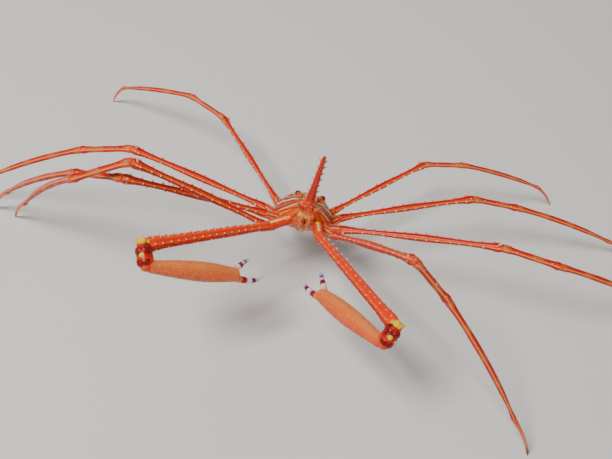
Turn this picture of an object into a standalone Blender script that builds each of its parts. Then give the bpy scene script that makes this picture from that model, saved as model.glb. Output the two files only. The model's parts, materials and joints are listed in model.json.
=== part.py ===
"""Arrow crab, a still life-size model: long beaked body held upright between eight stilt legs and two claws.

Metres, +Z up. The crab faces -Y and its left side is +X. All feet stand on Z = 0.
The body has its own axes: a runs forward along the back, l to the crab's left, d out of the back.
"""
import bpy
import bmesh
import numpy as np
from math import radians, cos, sin, tan, pi
from mathutils import Matrix, Vector

# The whole animal
NAME = "arrow_crab"
GAP = 0.0003               # between one piece and the next
BODY_PLACE = (-0.006545, -0.002203, 0.0250)   # body centre, from the middle of the stance
BODY_PITCH = radians(70)   # nose up, belly to the front
BODY_TURN = radians(5)     # nose to the crab's left
FLOOR = 0.0

# Body sections from tail to nose: a, half width, height of back, depth of belly
BODY_SECTIONS = (
    (-0.0092, 0.0016, 0.0010, 0.0006),
    (-0.0084, 0.0046, 0.0030, 0.0015),
    (-0.0062, 0.0070, 0.0048, 0.0025),
    (-0.0032, 0.0077, 0.0057, 0.0032),
    (0.0000, 0.0070, 0.0054, 0.0036),
    (0.0030, 0.0055, 0.0046, 0.0037),
    (0.0055, 0.0039, 0.0036, 0.0034),
    (0.0078, 0.0028, 0.0029, 0.0029),
    (0.0102, 0.0017, 0.0020, 0.0017),
)
BODY_SIDES = 20
SHELL_EDGE = -0.0008       # level of the seam between back shell and breast plate

# Beak
BEAK_ROOT = 0.0102
BEAK_LENGTH = 0.0215
BEAK_RADII = (0.00135, 0.00092, 0.00070, 0.00054, 0.00034)
BEAK_DROP = 0.0002          # level of the root, along d
BEAK_RISE = 0.0052          # and of the tip

# Legs: socket (a, l, d), merus length, thickness of merus
SOCKETS = {
    "p1": (0.0046, 0.0035, -0.0034),
    "p2": (0.0019, 0.0048, -0.0030),
    "p3": (-0.0009, 0.0057, -0.0022),
    "p4": (-0.0037, 0.0059, -0.0010),
    "p5": (-0.0063, 0.0050, 0.0009),
}
MERUS = {"p2": 0.0430, "p3": 0.0410, "p4": 0.0370, "p5": 0.0305}
MERUS_RADIUS = {"p2": 0.00100, "p3": 0.00100, "p4": 0.00095, "p5": 0.00085}
CARPUS_SHARE = 0.37        # of the merus length
PROPODUS_SHARE = 0.95
DACTYL_SHARE = 0.38
BASE_LENGTH = 0.0048
BASE_RADIUS = 0.00122
FOOT_RADIUS = 0.00030
FOOT_OVERRUN = 0.0008      # how far a dactyl's tube runs below the floor before it is cut flat
# Upward bow as a share of length, and sections along it
BOWS = {"merus": (0.010, 7), "propodus": (0.028, 7), "dactylus": (0.045, 5)}

# Pose of each walking leg in degrees: heading and rise of base, merus, carpus, propodus, then dactyl heading
LEG_POSE = {
    "p2_left": ((-35, 15), (-56, 47), (0, -52), (-22, -50), -16),
    "p3_left": ((-3, 14), (-4, 13), (-3, -8), (12, -29), 12),
    "p4_left": ((32, 22), (21, 3), (12, -15), (10, -24), 9),
    "p5_left": ((50, 9), (42, 4), (14, -2), (17, -25), 16),
    "p2_right": ((230, 8), (197, 41), (187, -31), (150, -53), 148),
    "p3_right": ((190, 26), (204, 33), (163, -27), (159, -46), 160),
    "p4_right": ((166, 20), (179, 20), (183, -15), (179, -36), 178),
    "p5_right": ((127, 8), (130, 3), (156, 6), (157, -27), 153),
}

# Claw legs
CLAW_BASE = 0.0070
CLAW_MERUS = 0.0360
CLAW_CARPUS = 0.0047
PALM = 0.0245
CLAW_BASE_RADII = (0.00128, 0.00125, 0.00125)
CLAW_MERUS_RADII = (0.00112, 0.00120, 0.00126, 0.00138, 0.00158)
CARPUS_RADII = (0.00160, 0.00190, 0.00165)
PALM_RADII = (0.00130, 0.00175, 0.00212, 0.00230, 0.00205, 0.00150)
PALM_SLOPE = radians(35)   # lean of the palm's end face towards the moving finger
PALM_BACK = 0.0004         # middle of that face, back from the palm's end
# Middle line of each finger: along the palm from its end, across it towards the moving finger, radius
FIXED_FINGER = ((-0.0030, -0.0005, 0.00100), (0.0000, -0.0009, 0.00088), (0.0032, -0.0011, 0.00070),
                (0.0056, -0.0007, 0.00050), (0.0074, 0.0004, 0.00024))
MOVING_FINGER = ((-0.0024, 0.0005, 0.00082), (0.0003, 0.0020, 0.00076), (0.0017, 0.0030, 0.00062),
                 (0.0029, 0.0038, 0.00046), (0.0038, 0.0041, 0.00024))
# Heading and rise of base, merus and palm
CLAW_POSE = {
    "left": ((-82, 34), (-54, 19), (134, -26)),
    "right": ((222, 15), (222, 25), (28, -31)),
}

# Spines: length, root radius
SPINULE = (0.00085, 0.00030)
KNEE_SPINE = (0.00190, 0.00042)
BEAK_SPINE = (0.00190, 0.00036)
SHELL_SPINE = (0.00150, 0.00045)
SPINE_TIP = 0.00006
SPINE_SIDES = 4
SPINE_ROOT = 0.00045       # how far a root is sunk
SPINULE_STEP = 0.0034
CLAW_SPINULE_STEP = 0.0024
SPINE_SEED = 11
SPINE_SINK = 0.92          # share of the limb's radius at which a spine's root sits
ROW_ENDS = 0.003           # bare length at both ends of a row
BEAK_SPINE_STEP = 0.0028
BEAK_ROW_ENDS = 0.0022
KNEE_SPINE_BACK = 0.0016   # its root, back from the knee
# The lie of a merus's two rows of spinules, as turns in degrees about its axis from straight up
SPINULE_TURNS = (-35, 40)
# Spines of the back: a, l
SHELL_SPINES = ((0.0045, 0.0), (-0.0005, 0.0033), (-0.0060, 0.0), (0.0070, 0.0017), (-0.0035, 0.0055))

# Small pieces of the head and the tail flap: a, l, d and radius at each knot
EYE = ((0.0080, 0.0012, 0.0012, 0.00055), (0.0088, 0.0021, 0.0017, 0.00055), (0.0094, 0.0027, 0.0020, 0.00085),
       (0.0099, 0.0033, 0.0022, 0.00085), (0.0102, 0.0037, 0.0023, 0.00035))
ANTENNA = ((0.0085, 0.0010, -0.0010, 0.00038), (0.0115, 0.0022, -0.0016, 0.00034),
           (0.0150, 0.0027, -0.0019, 0.00030), (0.0205, 0.0030, -0.0016, 0.00020))
MOUTHPART = ((0.0022, 0.0010, -0.0040, 0.00040), (0.0032, 0.0010, -0.0040, 0.00078),
             (0.0058, 0.0010, -0.0038, 0.00080), (0.0078, 0.0010, -0.0034, 0.00066),
             (0.0086, 0.0009, -0.0032, 0.00030))
FLAP = ((-0.0078, 0.0, -0.0012, 0.0008), (-0.0068, 0.0, -0.0018, 0.0011), (-0.0048, 0.0, -0.0023, 0.0013),
        (-0.0020, 0.0, -0.0029, 0.0012), (0.0000, 0.0, -0.0032, 0.0010), (0.0010, 0.0, -0.0036, 0.0005))
SIDES = {1: "left", -1: "right"}

# Colour, roughness
FINISH = {
    "shell": ((0.55, 0.10, 0.03, 1), 0.40),
    "leg": ((0.60, 0.06, 0.02, 1), 0.38),
    "claw": ((0.70, 0.20, 0.08, 1), 0.40),
    "finger": ((0.45, 0.20, 0.50, 1), 0.30),
    "eye": ((0.05, 0.03, 0.03, 1), 0.12),
    "mouth": ((0.60, 0.30, 0.30, 1), 0.45),
}

rng = np.random.default_rng(SPINE_SEED)


def clear_scene():
    """Remove every object, then make one collection for the parts and one for cutters."""
    for item in list(bpy.data.objects):
        bpy.data.objects.remove(item)
    groups = []
    for name in (NAME, "cutters"):
        group = bpy.data.collections.new(name)
        bpy.context.scene.collection.children.link(group)
        groups.append(group)
    return groups


PARTS, CUTTERS = clear_scene()


def material(name):
    """Principled material with the finish's colour and roughness, made once."""
    found = bpy.data.materials.get(name)
    if found:
        return found
    colour, roughness = FINISH[name]
    made = bpy.data.materials.new(name)
    made.use_nodes = True
    shader = made.node_tree.nodes["Principled BSDF"]
    shader.inputs["Base Color"].default_value = colour
    shader.inputs["Roughness"].default_value = roughness
    shader.inputs["Metallic"].default_value = 0.0
    return made


# The body's axes in the world
BODY_AXES = (Matrix.Translation(BODY_PLACE) @ Matrix.Rotation(-BODY_PITCH, 4, "X")
             @ Matrix.Rotation(BODY_TURN, 4, "Z"))


def on_body(a, l, d):
    """World place of a point given along the body's own axes."""
    return BODY_AXES @ Vector((l, -a, d))


def body_direction(a, l, d):
    """World direction of a vector given along the body's own axes."""
    return (BODY_AXES.to_3x3() @ Vector((l, -a, d))).normalized()


def direction(heading, rise):
    """Unit vector from a compass heading (0 along +X, 90 along +Y) and a rise above level, in degrees."""
    level = cos(radians(rise))
    return Vector((level * cos(radians(heading)), level * sin(radians(heading)), sin(radians(rise))))


def new_object(name, mesh, matrix, group=PARTS, finish=None):
    """Object with a mesh and a place, in a collection, with its finish if it has one."""
    item = bpy.data.objects.new(name, mesh)
    item.matrix_world = matrix
    group.objects.link(item)
    if finish:
        mesh.materials.clear()
        mesh.materials.append(material(finish))
    return item


def drop(item):
    """Remove an object and its mesh."""
    mesh = item.data
    bpy.data.objects.remove(item)
    bpy.data.meshes.remove(mesh)


def tube(name, points, radii, finish, resolution=2, group=PARTS):
    """Round tube along points with a radius at each, made from a bevelled curve and closed at both ends."""
    start = points[0]
    curve = bpy.data.curves.new(name + "_path", "CURVE")
    curve.dimensions = "3D"
    curve.bevel_depth = 1.0
    curve.bevel_resolution = resolution
    curve.use_fill_caps = True
    spline = curve.splines.new("POLY")
    spline.points.add(len(points) - 1)
    for knot, place, radius in zip(spline.points, points, radii):
        knot.co = (*(place - start), 1.0)
        knot.radius = radius
    guide = bpy.data.objects.new(name + "_path", curve)
    guide.location = start
    PARTS.objects.link(guide)
    bpy.context.view_layer.update()
    evaluated = guide.evaluated_get(bpy.context.evaluated_depsgraph_get())
    mesh = bpy.data.meshes.new_from_object(evaluated)
    mesh.name = name
    matrix = guide.matrix_world.copy()
    bpy.data.objects.remove(guide)
    bpy.data.curves.remove(curve)
    work = bmesh.new()
    work.from_mesh(mesh)
    bmesh.ops.remove_doubles(work, verts=work.verts, dist=1e-7)
    bmesh.ops.recalc_face_normals(work, faces=work.faces)
    work.to_mesh(mesh)
    work.free()
    return new_object(name, mesh, matrix, group, finish)


def part_along(item, place, normal):
    """Cut a closed mesh by a plane, drop the side that the normal points to and close the cut with a flat."""
    to_mesh = item.matrix_world.inverted()
    co = to_mesh @ place
    no = (to_mesh.to_3x3() @ normal).normalized()
    work = bmesh.new()
    work.from_mesh(item.data)
    geometry = list(work.verts) + list(work.edges) + list(work.faces)
    bmesh.ops.bisect_plane(work, geom=geometry, plane_co=co, plane_no=no, dist=1e-7, clear_outer=True)
    rim = [edge for edge in work.edges if edge.is_boundary]
    bmesh.ops.contextual_create(work, geom=rim)
    bmesh.ops.remove_doubles(work, verts=work.verts, dist=1e-7)
    bmesh.ops.recalc_face_normals(work, faces=work.faces)
    work.to_mesh(item.data)
    work.free()


def keep_largest(item):
    """Leave only the largest closed surface of a mesh."""
    work = bmesh.new()
    work.from_mesh(item.data)
    left = set(work.verts)
    shells = []
    while left:
        seed = left.pop()
        shell = {seed}
        edge_of = [seed]
        while edge_of:
            vert = edge_of.pop()
            for edge in vert.link_edges:
                other = edge.other_vert(vert)
                if other not in shell:
                    shell.add(other)
                    edge_of.append(other)
        left -= shell
        shells.append(shell)
    shells.sort(key=len, reverse=True)
    for shell in shells[1:]:
        bmesh.ops.delete(work, geom=list(shell), context="VERTS")
    bmesh.ops.triangulate(work, faces=work.faces)
    work.to_mesh(item.data)
    work.free()


def settle_modifier(item):
    """Apply an object's modifiers to its mesh."""
    bpy.context.view_layer.update()
    evaluated = item.evaluated_get(bpy.context.evaluated_depsgraph_get())
    mesh = bpy.data.meshes.new_from_object(evaluated)
    old = item.data
    item.modifiers.clear()
    item.data = mesh
    mesh.name = item.name
    bpy.data.meshes.remove(old)
    keep_largest(item)


def cut_clear(item, cutter):
    """Take a cutter's shape out of a piece."""
    cut = item.modifiers.new("cut", "BOOLEAN")
    cut.operation = "DIFFERENCE"
    cut.solver = "EXACT"
    cut.object = cutter
    settle_modifier(item)


def join_spines(item, spines):
    """Fuse a group of closed spines into the piece that they grow from."""
    group = bpy.data.collections.new(item.name + "_spines")
    bpy.context.scene.collection.children.link(group)
    for spine in spines:
        CUTTERS.objects.unlink(spine)
        group.objects.link(spine)
    join = item.modifiers.new("join", "BOOLEAN")
    join.operation = "UNION"
    join.solver = "EXACT"
    join.operand_type = "COLLECTION"
    join.collection = group
    settle_modifier(item)
    for spine in list(group.objects):
        drop(spine)
    bpy.data.collections.remove(group)


def spine(root, way, size):
    """Tapered spine whose root is sunk along its own line into what it grows from."""
    length, radius = size
    whole = length + SPINE_ROOT
    mesh = bpy.data.meshes.new("spine")
    work = bmesh.new()
    bmesh.ops.create_cone(work, cap_ends=True, segments=SPINE_SIDES, radius1=radius, radius2=SPINE_TIP, depth=whole)
    bmesh.ops.translate(work, verts=work.verts, vec=(0, 0, whole / 2 - SPINE_ROOT))
    work.to_mesh(mesh)
    work.free()
    turn = way.to_track_quat("Z", "Y").to_matrix().to_4x4()
    spin = Matrix.Rotation(rng.uniform(0, pi / 2), 4, "Z")
    made = new_object("spine", mesh, Matrix.Translation(root) @ turn @ spin, CUTTERS)
    made.hide_render = True
    made.display_type = "WIRE"
    return made


def spine_row(start, end, radii, outward, step, size, lean=0.25, skip=0.0, bow=Vector((0, 0, 0))):
    """Spines along the line from start to end, on the side that outward points to, leaning towards the end."""
    line = end - start
    evenly = np.linspace(0, 1, len(radii))
    along = line.normalized()
    side = (outward - outward.dot(along) * along).normalized()
    count = int((line.length - 2 * skip) / step)
    made = []
    for index in range(count + 1):
        share = (skip + (index + rng.uniform(-0.12, 0.12)) * (line.length - 2 * skip) / max(count, 1)) / line.length
        share = min(max(share, 0.03), 0.97)
        radius = float(np.interp(share, evenly, radii))
        root = along_bow(start, end, bow, share) + side * radius * SPINE_SINK
        way = (side + along * lean).normalized()
        grow = rng.uniform(0.8, 1.2)
        made.append(spine(root, way, (size[0] * grow, size[1])))
    return made


def joint_plane(before, after):
    """Unit normal of the plane that halves the bend between two directions."""
    return (before + after).normalized()


def reach(radius, before, after):
    """How far a tube runs past a joint so that the halving plane cuts right through it."""
    bend = before.angle(after)
    return radius * (tan(min(bend / 2, radians(62))) + 0.4)


def bow_of(start, end, share):
    """Sideways push at mid length of a limb segment that bows upward by a share of its length."""
    line = end - start
    along = line.normalized()
    return (Vector((0, 0, 1)) - along * along.z).normalized() * share * line.length


def along_bow(start, end, bow, share):
    """Place on a segment's middle line: the straight line plus a parabola that is nothing at both joints."""
    return start + (end - start) * share + bow * 4 * share * (1 - share)


def segment(name, start, end, radii, finish, before=None, after=None, bow=0.0, knots_wanted=0):
    """Limb segment from joint to joint, cut at each joint by the plane that halves the bend."""
    along = (end - start).normalized()
    first = reach(radii[0], before, along) if before else 0.0
    last = reach(radii[-1], along, after) if after else 0.0
    shares = np.linspace(0, 1, knots_wanted or len(radii))
    push = bow_of(start, end, bow)
    knots = [along_bow(start, end, push, float(share)) for share in shares]
    widths = [float(np.interp(share, np.linspace(0, 1, len(radii)), radii)) for share in shares]
    if first:
        knots.insert(0, start - along * first)
        widths.insert(0, radii[0])
    if last:
        knots.append(end + along * last)
        widths.append(radii[-1])
    made = tube(name, knots, widths, finish)
    if before:
        normal = joint_plane(before, along)
        part_along(made, start + normal * GAP / 2, -normal)
    if after:
        normal = joint_plane(along, after)
        part_along(made, end - normal * GAP / 2, normal)
    return made


def body_ring(half_width, height, depth, grow):
    """One section of the body: half ellipses of back and belly on a common width."""
    angle = np.linspace(0, 2 * pi, BODY_SIDES, endpoint=False)
    across = (half_width + grow) * np.cos(angle)
    tall = np.where(np.sin(angle) >= 0, height + grow, depth + grow)
    return np.column_stack([across, tall * np.sin(angle)])


def body_loft(name, grow, group, finish=None):
    """Whole body as a loft through its unlike sections, swollen by grow on every side."""
    work = bmesh.new()
    rings = []
    last = len(BODY_SECTIONS) - 1
    for index, (a, half_width, height, depth) in enumerate(BODY_SECTIONS):
        place = a - grow if index == 0 else a + grow if index == last else a
        ring = body_ring(half_width, height, depth, grow)
        rings.append([work.verts.new((x, -place, z)) for x, z in ring])
    for back, front in zip(rings, rings[1:]):
        for index in range(BODY_SIDES):
            follow = (index + 1) % BODY_SIDES
            work.faces.new((back[index], back[follow], front[follow], front[index]))
    work.faces.new(rings[0])
    work.faces.new(rings[-1])
    bmesh.ops.triangulate(work, faces=work.faces)
    bmesh.ops.recalc_face_normals(work, faces=work.faces)
    mesh = bpy.data.meshes.new(name)
    work.to_mesh(mesh)
    work.free()
    return new_object(name, mesh, BODY_AXES, group, finish)


def make_body():
    """Back shell and breast plate, parted along the shell's edge."""
    shell = body_loft("carapace", 0.0, PARTS, "shell")
    plate = body_loft("sternum", 0.0, PARTS, "shell")
    out = body_direction(0, 0, 1)
    part_along(shell, on_body(0, 0, SHELL_EDGE + GAP / 2), -out)
    part_along(plate, on_body(0, 0, SHELL_EDGE - GAP / 2), out)
    room = body_loft("body_room", GAP, CUTTERS)
    room.hide_render = True
    room.display_type = "WIRE"
    return shell, plate, room


def shell_height(a, l):
    """Height of the back over a point of the body's middle plane."""
    for back, front in zip(BODY_SECTIONS, BODY_SECTIONS[1:]):
        if back[0] <= a <= front[0]:
            share = (a - back[0]) / (front[0] - back[0])
            half_width = back[1] + share * (front[1] - back[1])
            height = back[2] + share * (front[2] - back[2])
            return height * max(0.0, 1 - (l / half_width) ** 2) ** 0.5
    return 0.0


def add_shell_spines(shell):
    """Spines of the back, each one off the middle line given a twin on the other side."""
    made = []
    for a, l in SHELL_SPINES:
        for side in ((1, -1) if l else (0,)):
            root = on_body(a, side * l, shell_height(a, l) - 0.0001)
            made.append(spine(root, body_direction(0.35, side * l * 60, 1), SHELL_SPINE))
    join_spines(shell, made)


def make_beak():
    """Long tapered beak with a row of spines down each side."""
    root = on_body(BEAK_ROOT + GAP, 0, BEAK_DROP)
    tip = on_body(BEAK_ROOT + BEAK_LENGTH, 0, BEAK_RISE)
    along = (tip - root).normalized()
    forward = body_direction(1, 0, 0)
    knots = [root - along * 0.001]
    knots += [root + (tip - root) * (index / (len(BEAK_RADII) - 1)) for index in range(len(BEAK_RADII))]
    beak = tube("rostrum", knots, (BEAK_RADII[0],) + BEAK_RADII, "shell")
    part_along(beak, root, -forward)
    made = []
    for side in (1, -1):
        outward = body_direction(0, side, 0.25)
        made += spine_row(root, tip, BEAK_RADII, outward, BEAK_SPINE_STEP, BEAK_SPINE, 0.7, BEAK_ROW_ENDS)
    join_spines(beak, made)


def small_piece(name, path, side, finish, room, resolution=2):
    """Tube along a path given in the body's axes, with the body's room cut out of it."""
    knots = [on_body(a, side * l, d) for a, l, d, radius in path]
    piece = tube(name, knots, [knot[3] for knot in path], finish, resolution)
    cut_clear(piece, room)


def make_head_and_flap(room):
    """Eyes, feelers and outer jaw legs of both sides, and the tail flap folded forward under the body."""
    for side, word in SIDES.items():
        small_piece("eye_" + word, EYE, side, "eye", room)
        small_piece("antenna_" + word, ANTENNA, side, "leg", room, 1)
        small_piece("maxilliped_" + word, MOUTHPART, side, "mouth", room)
    small_piece("abdomen", FLAP, 1, "shell", room)


def make_walking_leg(leg, side, room):
    """Base, merus, carpus, propodus and dactyl, with the foot cut flat on the floor."""
    name = leg + "_" + SIDES[side]
    base_way, merus_way, carpus_way, propodus_way, foot_heading = LEG_POSE[name]
    ways = [direction(*way) for way in (base_way, merus_way, carpus_way, propodus_way)]
    merus = MERUS[leg]
    lengths = (BASE_LENGTH, merus, merus * CARPUS_SHARE, merus * PROPODUS_SHARE)
    a, l, d = SOCKETS[leg]
    joints = [on_body(a, side * l, d)]
    for way, length in zip(ways, lengths):
        joints.append(joints[-1] + way * length)
    foot = merus * DACTYL_SHARE
    drop_angle = -np.degrees(np.arcsin(min(1.0, (joints[-1].z - FLOOR) / foot)))
    ways.append(direction(foot_heading, drop_angle))
    joints.append(joints[-1] + ways[-1] * foot)
    thick = MERUS_RADIUS[leg]
    widths = {
        "base": (BASE_RADIUS, BASE_RADIUS, thick * 1.15),
        "merus": (thick * 1.15, thick, thick, thick, thick * 1.18),
        "carpus": (thick * 1.10, thick * 0.85, thick * 0.85, thick * 1.05),
        "propodus": (thick * 0.92, thick * 0.80, thick * 0.72, thick * 0.62),
        "dactylus": (thick * 0.58, thick * 0.50, thick * 0.42, FOOT_RADIUS),
    }
    pieces = {}
    for index, (part, radii) in enumerate(widths.items()):
        before = ways[index - 1] if index else None
        after = ways[index + 1] if index < 4 else None
        end = joints[index + 1]
        if part == "dactylus":
            end = end + ways[-1] * FOOT_OVERRUN
        bow, knots = BOWS.get(part, (0.0, 0))
        pieces[part] = segment(f"{name}_{part}", joints[index], end, radii, "leg", before, after, bow, knots)
    cut_clear(pieces["base"], room)
    part_along(pieces["dactylus"], Vector((0, 0, FLOOR)), Vector((0, 0, -1)))
    add_leg_spines(pieces["merus"], joints, ways, widths["merus"])


def add_leg_spines(merus, joints, ways, radii):
    """Two rows of spinules down the merus and one long spine above the knee."""
    along = ways[1]
    up = Vector((0, 0, 1)) - along * along.z
    bow = bow_of(joints[1], joints[2], BOWS["merus"][0])
    made = []
    for turn in SPINULE_TURNS:
        outward = Matrix.Rotation(radians(turn), 3, along) @ up
        made += spine_row(joints[1], joints[2], radii, outward, SPINULE_STEP, SPINULE, 0.25, ROW_ENDS, bow)
    outward = (ways[1] - ways[2]).normalized()
    knee = joints[2] - along * KNEE_SPINE_BACK
    side = (outward - outward.dot(along) * along).normalized()
    made.append(spine(knee + side * radii[2], (side + along * 0.8).normalized(), KNEE_SPINE))
    join_spines(merus, made)


def make_claw_leg(side, room):
    """Base, merus, knobbed carpus, spindle palm with the fixed finger, and the moving finger set open."""
    name = "claw_" + SIDES[side]
    base_way, merus_way, palm_way = (direction(*way) for way in CLAW_POSE[SIDES[side]])
    carpus_way = (merus_way + palm_way).normalized()
    a, l, d = SOCKETS["p1"]
    socket = on_body(a, side * l, d)
    shoulder = socket + base_way * CLAW_BASE
    elbow = shoulder + merus_way * CLAW_MERUS
    wrist = elbow + carpus_way * CLAW_CARPUS
    palm_end = wrist + palm_way * PALM
    base = segment(name + "_base", socket, shoulder, CLAW_BASE_RADII, "leg", None, merus_way)
    cut_clear(base, room)
    merus = segment(name + "_merus", shoulder, elbow, CLAW_MERUS_RADII, "leg", base_way, carpus_way)
    segment(name + "_carpus", elbow, wrist, CARPUS_RADII, "claw", merus_way, palm_way)
    palm = segment(name + "_palm", wrist, palm_end, PALM_RADII, "claw", carpus_way, None)
    across = (merus_way.dot(palm_way) * palm_way - merus_way).normalized()
    make_fingers(name, palm, palm_end, palm_way, across)
    made = []
    up = Vector((0, 0, 1)) - merus_way * merus_way.z
    for turn in SPINULE_TURNS:
        outward = Matrix.Rotation(radians(turn), 3, merus_way) @ up
        made += spine_row(shoulder, elbow, CLAW_MERUS_RADII, outward, CLAW_SPINULE_STEP, SPINULE, 0.2, ROW_ENDS)
    join_spines(merus, made)


def make_fingers(name, palm, palm_end, along, across):
    """Fixed finger fused to the palm, and moving finger that meets the palm's leaning end face."""
    lines = []
    for line in (FIXED_FINGER, MOVING_FINGER):
        knots = [palm_end + along * onward + across * aside for onward, aside, radius in line]
        lines.append((knots, [knot[2] for knot in line]))
    face = palm_end - along * PALM_BACK
    normal = along * cos(PALM_SLOPE) + across * sin(PALM_SLOPE)
    part_along(palm, face - normal * GAP / 2, normal)
    fixed = tube(name + "_fixed", *lines[0], "finger", 1, CUTTERS)
    join_spines(palm, [fixed])
    moving = tube(name + "_dactyl", *lines[1], "finger", 1)
    part_along(moving, face + normal * GAP / 2, -normal)


def main():
    """Build the body, then the head's small pieces and the limbs of both sides."""
    shell, plate, room = make_body()
    add_shell_spines(shell)
    make_beak()
    make_head_and_flap(room)
    for side in SIDES:
        make_claw_leg(side, room)
        for leg in MERUS:
            make_walking_leg(leg, side, room)
    for item in PARTS.objects:
        keep_largest(item)


main()
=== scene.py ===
# %% [markdown]
# # An arrow crab, modelled as a museum model
# The animal is a long-beaked spider crab: a pear-shaped body no longer than a thumbnail, held up on eight legs
# that are thinner than a matchstick, with two slim claws folded in front. Hard shell covers all of it.
# The solids of the frame fix where everything is. This script gives each of them its real surface.

# %% Start from the frame
import json
import bpy
import numpy as np
from mathutils import Matrix, Vector

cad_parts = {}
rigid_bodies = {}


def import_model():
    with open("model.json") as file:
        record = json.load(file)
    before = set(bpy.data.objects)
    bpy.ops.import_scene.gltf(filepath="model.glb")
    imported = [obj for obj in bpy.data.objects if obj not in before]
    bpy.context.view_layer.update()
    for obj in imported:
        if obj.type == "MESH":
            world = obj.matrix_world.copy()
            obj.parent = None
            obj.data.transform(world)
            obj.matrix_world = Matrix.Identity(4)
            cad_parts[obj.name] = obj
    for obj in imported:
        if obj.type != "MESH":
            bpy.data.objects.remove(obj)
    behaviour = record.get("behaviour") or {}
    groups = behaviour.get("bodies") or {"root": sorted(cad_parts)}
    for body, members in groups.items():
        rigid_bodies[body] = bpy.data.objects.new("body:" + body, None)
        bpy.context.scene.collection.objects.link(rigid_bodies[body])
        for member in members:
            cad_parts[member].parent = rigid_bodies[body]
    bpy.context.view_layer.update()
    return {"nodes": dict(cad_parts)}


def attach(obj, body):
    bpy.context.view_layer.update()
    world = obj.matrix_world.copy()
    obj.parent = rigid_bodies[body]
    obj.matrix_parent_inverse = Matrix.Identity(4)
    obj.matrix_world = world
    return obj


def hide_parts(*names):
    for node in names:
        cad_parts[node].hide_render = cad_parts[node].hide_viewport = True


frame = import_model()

rng = np.random.default_rng(5)
print("nodes in the frame:", len(frame["nodes"]))

# %% [markdown]
# ## Camera
# The camera looks down on the crab from in front, as a diver would, and leans a little to one side.
# A camera could be aimed with a Track To constraint. Here its three directions are worked out from two angles
# and a roll, because the photograph's lean is then a number that can be read.

# %% Camera
IMAGE_WIDTH = 612                 # pixels
FOCAL_PIXELS = 840.0              # distance to the picture plane in pixels
SENSOR = 36.0                     # mm
CAMERA_RISE = np.radians(54.93)    # above the floor
CAMERA_TURN = np.radians(1.57)     # towards the crab's left
CAMERA_ROLL = np.radians(9.68)
CAMERA_DISTANCE = 0.2181
AIM = np.array([0.0, 0.0, 0.025])
AIM_SHIFT = (-0.00626, -0.00445)  # along the picture's width and height


def camera_axes():
    """Right, up and back of the camera: back points from the aim to the camera, then right and up roll about it."""
    back = np.array([np.sin(CAMERA_TURN) * np.cos(CAMERA_RISE), -np.cos(CAMERA_TURN) * np.cos(CAMERA_RISE),
                     np.sin(CAMERA_RISE)])
    level = np.array([np.cos(CAMERA_TURN), np.sin(CAMERA_TURN), 0.0])
    high = np.cross(back, level)
    right = np.cos(CAMERA_ROLL) * level + np.sin(CAMERA_ROLL) * high
    return right, np.cross(back, right), back


right, up, back = camera_axes()
place = AIM + back * CAMERA_DISTANCE + right * AIM_SHIFT[0] + up * AIM_SHIFT[1]
lens = bpy.data.cameras.new("camera")
lens.sensor_width = SENSOR
lens.lens = FOCAL_PIXELS / IMAGE_WIDTH * SENSOR
lens.clip_start = 0.005
camera = bpy.data.objects.new("camera", lens)
shown = bpy.context.scene.collection.objects
shown.link(camera)
turn = Matrix((right, up, back)).transposed().to_4x4()
camera.matrix_world = Matrix.Translation(Vector(place)) @ turn
bpy.context.scene.camera = camera
print("lens", round(lens.lens, 1), "mm, camera height", round(float(place[2]) * 1000), "mm")

# %% [markdown]
# ## Colours and nodes
# Colours are written as they look on a screen, in hex. Blender mixes light in linear values, so one function
# turns hex to linear. A second function adds a shader node with its settings and links, whatever its kind.


# %% Two small helpers
def colour(code):
    """Linear RGBA from an sRGB hex code: below 0.04045 a straight line, above it a power of 2.4."""
    srgb = np.array([int(code[place:place + 2], 16) for place in (1, 3, 5)]) / 255
    linear = np.where(srgb <= 0.04045, srgb / 12.92, ((srgb + 0.055) / 1.055) ** 2.4)
    return (*linear, 1.0)


def add(tree, kind, inputs=(), stops="", out=0, **settings):
    """Add a shader node and give back one of its outputs. Inputs take a value or another node's output. Stops fill
    a colour ramp, each as a place from 0 to 1 and a colour."""
    node = tree.nodes.new("ShaderNode" + kind)
    for key, value in settings.items():
        setattr(node, key, value)
    for key, value in dict(inputs).items():
        if isinstance(value, bpy.types.NodeSocket):
            tree.links.new(value, node.inputs[key])
        else:
            node.inputs[key].default_value = value
    for index, stop in enumerate(stops.split(", ") if stops else ()):
        position, code = stop.split()
        elements = node.color_ramp.elements
        element = elements[index] if index < 2 else elements.new(float(position))
        element.position = float(position)
        element.color = colour(code)
    return node.outputs[out]


# %% [markdown]
# ## Floor and light
# A pale sheet of card under the model and three large soft lamps, as in a copy stand. Large lamps give soft
# shadows, which let the thin legs be read against the floor.

# %% Floor and light
FLOOR_HALF = 1.2
FLOOR_TONE = "#F2EFE8"
CARD_GRAIN = 900.0            # cells in a metre, so fibres of about 1.1 mm
LAMPS = (("key", (-0.24, -0.20, 0.62), 0.18, 4.2), ("fill", (0.50, -0.30, 0.40), 0.40, 0.5),
         ("rim", (0.10, 0.60, 0.40), 0.40, 0.8))

card = bpy.data.materials.new("floor_card")
card.use_nodes = True
tree = card.node_tree
grain = add(tree, "TexNoise", {"Vector": add(tree, "TexCoord", out="Object"), "Scale": CARD_GRAIN})
shader = tree.nodes["Principled BSDF"]
shader.inputs["Base Color"].default_value = colour(FLOOR_TONE)
shader.inputs["Roughness"].default_value = 0.9
bump = add(tree, "Bump", {"Height": grain, "Strength": 0.05, "Distance": 0.0002})
tree.links.new(bump, shader.inputs["Normal"])
sheet = bpy.data.meshes.new("floor")
corners = [(x * FLOOR_HALF, y * FLOOR_HALF, 0.0) for x, y in ((-1, -1), (1, -1), (1, 1), (-1, 1))]
sheet.from_pydata(corners, [], [(0, 1, 2, 3)])
sheet.materials.append(card)
floor = bpy.data.objects.new("floor", sheet)
shown.link(floor)

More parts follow.
